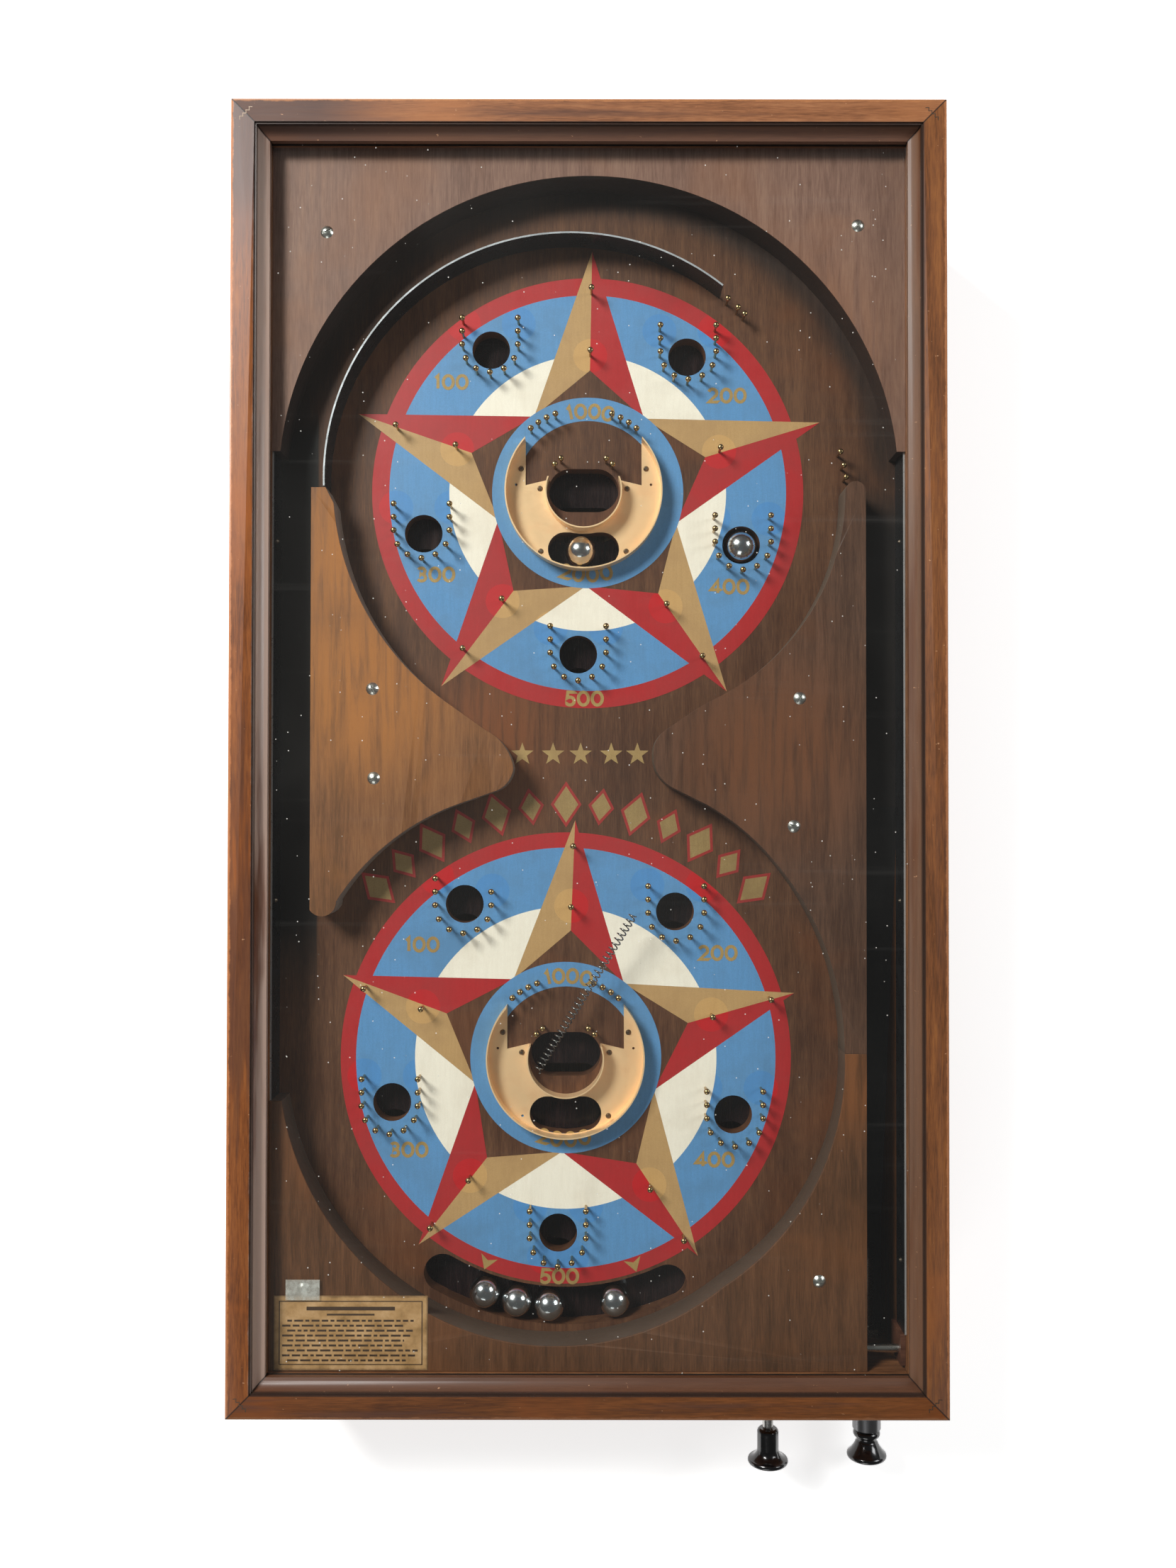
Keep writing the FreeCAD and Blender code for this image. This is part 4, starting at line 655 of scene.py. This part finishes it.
WOODS.update({
    "left_side_panel": SIDE_WOOD, "right_side_panel": SIDE_WOOD, "front_panel": END_WOOD,
    "rear_panel": END_WOOD, "playfield_board": PLAY_WOOD, "arch_block": ARCH_WOOD,
    "left_island": LEFT_WOOD, "right_island": RIGHT_WOOD, "bottom_block": BOTTOM_WOOD,
    "base_board": INNER_WOOD, "return_board": INNER_WOOD, "return_bearers": INNER_WOOD,
    "return_guide": INNER_WOOD, "left_runner": INNER_WOOD, "right_runner": INNER_WOOD,
    "lane_divider": DARK_WOOD, "shooter_ramp": DARK_WOOD, "glass_beads": DARK_WOOD,
    "lane_pin_cheek": CHEEK_WOOD, "shutter_board": SHUTTER_WOOD,
})

STEEL = metal("bright_steel", (200, 198, 194), (0.2, 0.34), stain=(150, 144, 136), worn=0.3)
# first colour: painted highlight on the upper edge; second: the near-black sides
STRIP = edge_metal("strip_steel", (176, 176, 178), (26, 26, 28))
SPRING_STEEL = edge_metal("spring_steel", (196, 198, 202), (30, 30, 32))
BARREL = metal("barrel_steel", (132, 132, 134), (0.26, 0.36), stain=(110, 108, 106), worn=0.2)
SPRING_WIRE = metal("spring_wire", (138, 136, 134), (0.25, 0.4), stain=(84, 76, 70))
CHROME = metal("ball_chrome", (214, 216, 218), (0.13, 0.22), stain=(190, 188, 186), worn=0.2)
GOLD = metal("ball_gold", (214, 168, 84), (0.1, 0.22))
SCREW = metal("screw_nickel", (214, 212, 206), (0.2, 0.38), stain=(150, 142, 130))
BRASS = metal("pin_brass", (178, 150, 104), (0.2, 0.36), stain=(92, 74, 52))
CUP = metal("cup_copper", (255, 216, 168), (0.28, 0.42), metallic=0.45, stain=(236, 176, 124), worn=0.35)
OLD_IRON = metal("old_nail", (112, 100, 88), (0.35, 0.55), stain=(66, 56, 48))
HINGE = metal("hinge_steel", (120, 104, 80), (0.3, 0.5), stain=(64, 52, 40))
KNOB = hard_rubber("knob_black")
CARD = card_stock("old_card", (142, 105, 60), (174, 133, 86), (197, 157, 113))

METALS = {
    "upper_pins": BRASS, "lower_pins": BRASS, "upper_cup": CUP, "lower_cup": CUP,
    "upper_cup_collar": CUP, "lower_cup_collar": CUP, "small_nails": OLD_IRON, "block_screws": SCREW,
    "curved_rail": SPRING_STEEL, "left_lane_strip": STRIP, "right_lane_strip": STRIP,
    "lane_cross_pin": STEEL, "plunger_barrel": BARREL, "barrel_nut": STEEL, "plunger_rod": STEEL,
    "plunger_collar": STEEL, "push_rod": STEEL, "push_rod_bushing": STEEL, "push_rod_plate": STEEL,
    "steel_balls": CHROME, "gold_ball": GOLD, "plunger_tip": KNOB, "plunger_knob": KNOB,
    "push_rod_knob": KNOB, "mitre_fasteners": OLD_IRON, "cabinet_hinge_leaves": HINGE,
    "lid_hinge_leaves": HINGE, "hinge_pins": HINGE, "cabinet_hinge_screws": SCREW,
    "lid_hinge_screws": SCREW, "direction_card": CARD, "card_tape": clear_tape("old_tape"),
    "glass": window_glass("window_glass"),
}


def finish_nodes():
    for node, material in {**WOODS, **METALS}.items():
        data = NODES[node].data
        data.materials.clear()
        data.materials.append(material)


def soften(width, harden, *names):
    """Rounds the sharp edges of CAD nodes a little, as sanding and wear do."""
    for name in names:
        thing = NODES[name]
        weld = thing.modifiers.new("weld", "WELD")
        weld.merge_threshold = 1e-5
        bevel = thing.modifiers.new("worn_edges", "BEVEL")
        bevel.width = width * MM
        bevel.segments = 2
        bevel.limit_method = "ANGLE"
        bevel.angle_limit = math.radians(50)
        bevel.harden_normals = harden


finish_nodes()
soften(0.5, True, *RAILS)
soften(0.6, True, "left_side_panel", "right_side_panel", "front_panel", "rear_panel", "base_board")
soften(0.5, False, "left_island", "right_island", "bottom_block", "lane_pin_cheek")


# ---------------------------------------------------------------- painted rings
RED, BLUE, CREAM, OCHRE, FRESH_RED, FRESH_BLUE, FRESH_OCHRE = range(7)
PAINTS = [
    paint("paint_red", (172, 36, 38)),
    paint("paint_blue", (92, 142, 190)),
    paint("paint_cream", (242, 231, 215), 0.3),
    paint("paint_ochre", (184, 146, 98)),
    paint("paint_red_fresh", (185, 24, 29), 0.2),
    paint("paint_blue_fresh", (80, 136, 192), 0.3),
    paint("paint_ochre_fresh", (196, 153, 98), 0.3),
]
FRESH = {RED: FRESH_RED, BLUE: FRESH_BLUE, OCHRE: FRESH_OCHRE}
HALO = 10.4  # fresher paint where something round was lifted off
STAR_PINS = (70, 100)
CLEAR_OF_HOLES = 24
BESIDE_HOLE = 26


def star_points(centre, first, tip, notch, ridge):
    """Each arm as (tip, left notch, inner end of the ridge, right notch)."""
    arms = []
    for number in range(5):
        turn = first + 72 * number
        arms.append((polar(centre, tip, turn), polar(centre, notch, turn + 36),
                     polar(centre, ridge, turn), polar(centre, notch, turn - 36)))
    return arms


def painted_ring(name, centre, radii, star, pins):
    """Red rim, blue and cream bands, five-armed star and blue inner ring round a cup."""
    rim_outer, rim_inner, cream_outer, hub_outer, hub_inner = radii
    arms = star_points(centre, *star)
    holes = [loop for loop in PLAY_OUTLINES if math.dist(middle(loop), centre) < rim_outer + 5]
    rounds = [middle(loop) for loop in holes if math.dist(middle(loop), centre) > hub_outer]
    halos = [pin for pin in pins if STAR_PINS[0] < math.dist(pin, centre) < STAR_PINS[1]
             and min(math.dist(pin, place) for place in rounds) > CLEAR_OF_HOLES]
    for place in rounds:
        near = sorted((pin for pin in pins if math.dist(pin, place) < BESIDE_HOLE), key=lambda pin: pin[1])
        halos += near[-2:]
    loops = [ring(centre, radius) for radius in radii] + holes
    loops += [ring(halo, HALO, 40) for halo in halos]
    halves = []
    for tip, left, ridge, right in arms:
        halves += [([tip, left, ridge], OCHRE), ([tip, ridge, right], RED)]
    loops += [half for half, _ in halves]
    heart = [point for tip, left, ridge, right in arms for point in (ridge, left)]

    def choose(x, y):
        away = math.dist((x, y), centre)
        if any(inside(hole, x, y) for hole in holes):
            return None
        if away < hub_inner:
            return None
        if away < hub_outer:
            colour = BLUE
        else:
            colour = next((paint for half, paint in halves if inside(half, x, y)), None)
            if colour is None and not inside(heart, x, y) and away < rim_outer:
                colour = CREAM if away < cream_outer else BLUE if away < rim_inner else RED
        if any(math.dist((x, y), halo) < HALO for halo in halos):
            return FRESH.get(colour, colour)
        return colour

    painted(name, loops, choose, PLAY_TOP + FILM, FILM * 0.9, PAINTS)


UPPER_RADII = (131.5, 121.0, 84.4, 58.3, 44.0)
LOWER_RADII = (136.5, 127.2, 91.4, 57.9, 43.0)
UPPER_STAR = (89.0, 148.0, 57.0, 75.0)
LOWER_STAR = (87.8, 144.0, 57.0, 77.0)
painted_ring("upper_ring_paint", UPPER_RING, UPPER_RADII, UPPER_STAR, island_middles("upper_pins"))
painted_ring("lower_ring_paint", LOWER_RING, LOWER_RADII, LOWER_STAR, island_middles("lower_pins"))


# ---------------------------------------------------------------- numerals
def bow(x, y, across, up, start, end, steps=16):
    """Elliptic stroke from angle start to end, in units of the figure's height."""
    stroke = []
    for step in range(steps + 1):
        turn = math.radians(start + (end - start) * step / steps)
        stroke.append((x + across * math.cos(turn), y + up * math.sin(turn)))
    return stroke


FIGURES = {
    "0": (0.80, [bow(0.40, 0.5, 0.32, 0.41, 0, 360, 28)]),
    "1": (0.40, [[(0.06, 0.74), (0.23, 0.91), (0.23, 0.09)]]),
    "2": (0.72, [bow(0.34, 0.66, 0.26, 0.25, 160, -38) + [(0.10, 0.09), (0.64, 0.09)]]),
    "3": (0.68, [bow(0.31, 0.71, 0.22, 0.20, 150, -90), bow(0.31, 0.30, 0.26, 0.21, 90, -150)]),
    "4": (0.76, [[(0.53, 0.09), (0.53, 0.88), (0.09, 0.30), (0.70, 0.30)]]),
    "5": (0.70, [[(0.60, 0.91), (0.20, 0.91), (0.15, 0.53)] + bow(0.33, 0.34, 0.27, 0.25, 115, -145)]),
}
FIGURE_HEIGHT = 9.6
STROKE = 1.95
FIGURE_GAP = 0.08


def stroke_outline(stroke, half):
    """Outline at half a stroke's width on both sides of a line of points."""
    left, right = [], []
    closed = math.dist(stroke[0], stroke[-1]) < 1e-6
    last = len(stroke) - 1
    for number, (x, y) in enumerate(stroke):
        before = stroke[number - 1] if number else (stroke[-2] if closed else None)
        after = stroke[number + 1] if number < last else (stroke[1] if closed else None)
        ways = []
        for start, end in ((before, (x, y)), ((x, y), after)):
            if start and end:
                length = math.dist(start, end)
                ways.append(Vector(((end[0] - start[0]) / length, (end[1] - start[1]) / length)))
        way = sum(ways, Vector((0, 0))).normalized()
        reach = half / max(0.45, way.dot(ways[0]))
        left.append((x - way.y * reach, y + way.x * reach))
        right.append((x + way.y * reach, y - way.x * reach))
    if closed:
        return [left[:-1], right[:-1]]
    return [left + right[::-1]]


def segment_distance(x, y, start, end):
    along = Vector(end) - Vector(start)
    share = (Vector((x, y)) - Vector(start)).dot(along) / along.length_squared
    return math.dist((x, y), Vector(start) + along * min(1, max(0, share)))


def numeral_strokes(number, x, y, tilt=0.0):
    """Strokes of one score, centred on (x, y)."""
    widths = [FIGURES[figure][0] for figure in number]
    pen = -(sum(widths) + FIGURE_GAP * (len(number) - 1)) / 2
    turn = math.radians(tilt)
    strokes = []
    for figure, width in zip(number, widths):
        for stroke in FIGURES[figure][1]:
            flat = [((pen + px) * FIGURE_HEIGHT, (py - 0.5) * FIGURE_HEIGHT) for px, py in stroke]
            strokes.append([(x + px * math.cos(turn) - py * math.sin(turn),
                             y + px * math.sin(turn) + py * math.cos(turn)) for px, py in flat])
        pen += width + FIGURE_GAP
    return strokes


def arched_strokes(number, centre, radius, degrees, outward=True):
    """Strokes of one score laid along an arc of radius round centre, feet inward if outward."""
    strokes = []
    widths = [FIGURES[figure][0] + FIGURE_GAP for figure in number]
    pen = -sum(widths) / 2
    for figure, width in zip(number, widths):
        swing = math.degrees((pen + width / 2) * FIGURE_HEIGHT / radius)
        turn = degrees - swing if outward else degrees + swing
        place = polar(centre, radius, turn)
        strokes += numeral_strokes(figure, *place, turn - 90 if outward else turn + 90)
        pen += width
    return strokes


def numerals(name, centre, hub, scores):
    strokes = []
    for number, x, y in scores:
        strokes += numeral_strokes(number, centre[0] + x, centre[1] + y)
    strokes += arched_strokes("1000", centre, hub, 88.0)
    strokes += arched_strokes("2000", centre, hub, -91.0, outward=False)
    loops = [loop for stroke in strokes for loop in stroke_outline(stroke, STROKE / 2)]
    boxes = []
    for stroke in strokes:
        xs, ys = zip(*stroke)
        boxes.append((min(xs) - STROKE, max(xs) + STROKE, min(ys) - STROKE, max(ys) + STROKE))

    def choose(x, y):
        for stroke, (left, right, low, high) in zip(strokes, boxes):
            if left < x < right and low < y < high:
                if any(segment_distance(x, y, a, b) < STROKE * 0.51 for a, b in zip(stroke, stroke[1:])):
                    return 0
        return None

    painted(name, loops, choose, PLAY_TOP + 2 * FILM, FILM, [paint(name + "_ochre", (168, 138, 84), 0.7)])


numerals("upper_scores", UPPER_RING, 50.0, [
    ("100", -83.3, 67.8), ("200", 84.9, 59.7), ("300", -92.5, -50.0), ("400", 86.4, -57.2),
    ("500", -2.0, -125.6),
])
numerals("lower_scores", LOWER_RING, 49.5, [
    ("100", -87.2, 68.3), ("200", 92.2, 63.4), ("300", -95.0, -55.8), ("400", 90.2, -61.6),
    ("500", -3.7, -132.0),
])


# ---------------------------------------------------------------- generic ornaments
def star_outline(x, y, outer, inner):
    points = []
    for number in range(5):
        points += [polar((x, y), outer, 90 + 72 * number), polar((x, y), inner, 126 + 72 * number)]
    return points


def little_stars():
    """Row of five small stars across the neck."""
    stars = [(star_outline(x, 2.0, 7.2, 2.9), 0) for x in (-40.1, -21.4, -4.6, 14.0, 29.9)]
    painted_shapes("neck_stars", stars, PLAY_TOP + FILM, [paint("star_ochre", (172, 142, 92), 0.8)])


def arc_ornament():
    """Arc of plain lozenges with a red outline between the two rings."""
    middle_radius = 153.5
    count = 13
    step = 8
    outline = 2.0
    shapes = []
    for number in range(count):
        turn = 90 + step * (number - (count - 1) / 2)
        centre = polar(LOWER_RING, middle_radius, turn)
        tall, wide = (11.0, 7.4) if number % 2 == 0 else (8.5, 6.0)
        for grow, colour in ((0.0, 1), (outline, 0)):
            corners = []
            for radial, sideways in ((tall + grow * 1.5, 0), (0, wide + grow), (-tall - grow * 1.5, 0),
                                     (0, -wide - grow)):
                out = math.radians(turn)
                corners.append((centre[0] + radial * math.cos(out) - sideways * math.sin(out),
                                centre[1] + radial * math.sin(out) + sideways * math.cos(out)))
            shapes.append((corners, colour))
    painted_shapes("arc_ornament", shapes, PLAY_TOP + FILM,
                   [paint("ornament_red", (158, 46, 42), 0.7), paint("ornament_ochre", (158, 130, 84), 0.9)])


def out_arrows():
    """Small arrowheads on the red rim that point at the two ends of the out tray."""
    arrows = []
    for x, y, turn in ((-47.3, -123.4, -112.0), (41.4, -124.6, -72.0)):
        tip = polar((LOWER_RING[0] + x, LOWER_RING[1] + y), 5.0, turn)
        arrows.append(([tip, polar(tip, 10.0, turn + 148), polar(tip, 6.0, turn + 180),
                        polar(tip, 10.0, turn - 148)], 0))
    painted_shapes("out_arrows", arrows, PLAY_TOP + 2 * FILM, [paint("arrow_ochre", (168, 138, 84), 0.7)])


little_stars()
arc_ornament()
out_arrows()


# ---------------------------------------------------------------- printed card
def card_print():
    """Rules and word-length dashes: no lettering."""
    rng = random.Random(7)
    left, right = CARD_LOW.x + 3.0, CARD_HIGH.x - 3.0
    low, high = CARD_LOW.y + 3.0, CARD_HIGH.y - 3.0
    rule, bar, space = 0.6, 1.2, 1.3
    first_row, row_step, rows = 12.2, 2.9, 9
    bars = [(left, low, right, low + rule), (left, high - rule, right, high),
            (left, low + rule, left + rule, high - rule), (right - rule, low + rule, right, high - rule)]
    centre = (left + right) / 2
    for half, under, over in ((26, 5.6, 3.4), (14, 8.6, 7.5)):
        bars.append((centre - half, high - under, centre + half, high - over))
    for row in range(rows):
        y = high - first_row - row_step * row
        x = left + (5.0 if row % 2 == 0 else 2.0)
        end = right - rng.uniform(2.0, 12.0)
        while x < end:
            word = rng.uniform(2.0, 7.0)
            bars.append((x, y, min(x + word, end), y + bar))
            x += word + space
    mesh = bmesh.new()
    for x0, y0, x1, y1 in bars:
        corners = [mesh.verts.new((x, y, CARD_HIGH.z + 0.03)) for x, y in
                   ((x0, y0), (x1, y0), (x1, y1), (x0, y1))]
        mesh.faces.new(corners)
    ink = paint("card_ink", (70, 50, 34), 0.9)
    finish_piece("card_print", to_data("card_print", mesh), [ink])


card_print()


# ---------------------------------------------------------------- wire springs
def wire(name, points, radius, sides=8):
    """Round wire along a line of points, with closed ends."""
    mesh = bmesh.new()
    across = Vector((0.3, 0.5, 0.8))
    rings = []
    for number, point in enumerate(points):
        before = points[max(0, number - 1)]
        after = points[min(len(points) - 1, number + 1)]
        way = (after - before).normalized()
        across = (across - way * across.dot(way)).normalized()
        other = way.cross(across)
        rings.append([mesh.verts.new(point + radius * (math.cos(turn) * across + math.sin(turn) * other))
                      for turn in (2 * math.pi * side / sides for side in range(sides))])
    for first, second in zip(rings, rings[1:]):
        for side in range(sides):
            mesh.faces.new((first[side], first[(side + 1) % sides],
                            second[(side + 1) % sides], second[side]))
    mesh.faces.new(rings[0][::-1])
    mesh.faces.new(rings[-1])
    for face in mesh.faces:
        face.smooth = True
    return to_data(name, mesh)


def coil_points(start, end, radius, turns, steps=16):
    """Points of a helix from start to end."""
    axis = (end - start).normalized()
    across = axis.orthogonal().normalized()
    other = axis.cross(across)
    points = []
    count = int(turns * steps)
    for step in range(count + 1):
        turn = 2 * math.pi * step / steps
        points.append(start + (end - start) * step / count
                      + radius * (math.cos(turn) * across + math.sin(turn) * other))
    return points


def sleeve_ends(node):
    """Two ends of a straight sleeve and its outer radius, in the table frame."""
    points = table_points(node)
    centre = points.mean(0)
    axis = np.linalg.svd(points - centre, full_matrices=False)[2][0]
    along = (points - centre) @ axis
    start = Vector(points[along < along.min() + 0.5].mean(0))
    end = Vector(points[along > along.max() - 0.5].mean(0))
    radius = np.linalg.norm((points - centre) - np.outer(along, axis), axis=1).max()
    return start, end, float(radius)


def coil_for(node, gauge, turns):
    """Wire coil in place of a CAD sleeve, with the sleeve's two ends."""
    start, end, radius = sleeve_ends(node)
    if start.y > end.y:
        start, end = end, start
    inset = (end - start).normalized() * gauge / 2
    coil = coil_points(start + inset, end - inset, radius - gauge / 2, turns)
    name = node + "_coil"
    thing = finish_piece(name, wire(name, coil, gauge / 2), [SPRING_WIRE])
    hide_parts(node)
    return thing, start, end


def springs():
    coil_for("loose_spring", 0.85, 34)
    main, start, end = coil_for("plunger_spring", 1.2, 8.5)
    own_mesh(main)
    back, start, end = coil_for("shutter_spring", 0.8, 24)
    back.parent = None
    del back["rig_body"]
    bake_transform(back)


springs()


# ---------------------------------------------------------------- floor, light and camera
def floor():
    mesh = bmesh.new()
    bmesh.ops.create_grid(mesh, x_segments=1, y_segments=1, size=4.0)
    data = to_data("floor", mesh)
    ground = bpy.data.objects.new("floor", data)
    bpy.context.scene.collection.objects.link(ground)
    graph = Graph("pale_floor", Roughness=0.8, Emission_Color=(1.0, 1.0, 1.0, 1.0), Emission_Strength=0.65)
    graph.colour(linear(246, 246, 245))
    data.materials.append(graph.material)


def soft_light(name, place, target, width, watts, colour=(1.0, 1.0, 1.0)):
    data = bpy.data.lights.new(name, "AREA")
    data.size = width
    data.energy = watts
    data.color = colour
    lamp = bpy.data.objects.new(name, data)
    lamp.location = place
    lamp.rotation_euler = (Vector(target) - Vector(place)).to_track_quat("-Z", "Y").to_euler()
    bpy.context.scene.collection.objects.link(lamp)


def lights():
    centre = (cad_box[0] + cad_box[1]) / 2
    soft_light("key", (-1.3, 1.1, 1.85), centre, 0.7, 84.0, (1.0, 0.99, 0.97))
    soft_light("fill_right", (1.8, 0.6, 1.3), centre, 0.8, 16.0, (0.97, 0.985, 1.0))
    soft_light("fill_front", (-0.4, -2.0, 1.3), centre, 1.0, 8.0)
    world = bpy.data.worlds.new("studio")
    world.use_nodes = True
    world.node_tree.nodes["Background"].inputs["Color"].default_value = (1.0, 1.0, 1.0, 1.0)
    world.node_tree.nodes["Background"].inputs["Strength"].default_value = 0.1
    bpy.context.scene.world = world


EYE = Vector((-0.1, -27.34, 779.58))
TILT = 0.013678
ROLL = 0.00116


def camera():
    """Almost straight above the table, a little in front of its middle."""
    data = bpy.data.cameras.new("camera")
    data.sensor_width = 36.0
    data.lens = 31.05
    data.clip_start = 0.01
    data.clip_end = 20.0
    eye = bpy.data.objects.new("camera", data)
    where = Matrix.Translation(EYE * MM)
    tilt = Matrix.Rotation(TILT, 4, "X")
    roll = Matrix.Rotation(ROLL, 4, "Z")
    eye.matrix_world = PLACE @ where @ tilt @ roll
    bpy.context.scene.collection.objects.link(eye)
    bpy.context.scene.camera = eye


floor()
lights()
camera()
bpy.context.scene.view_settings.view_transform = "Standard"
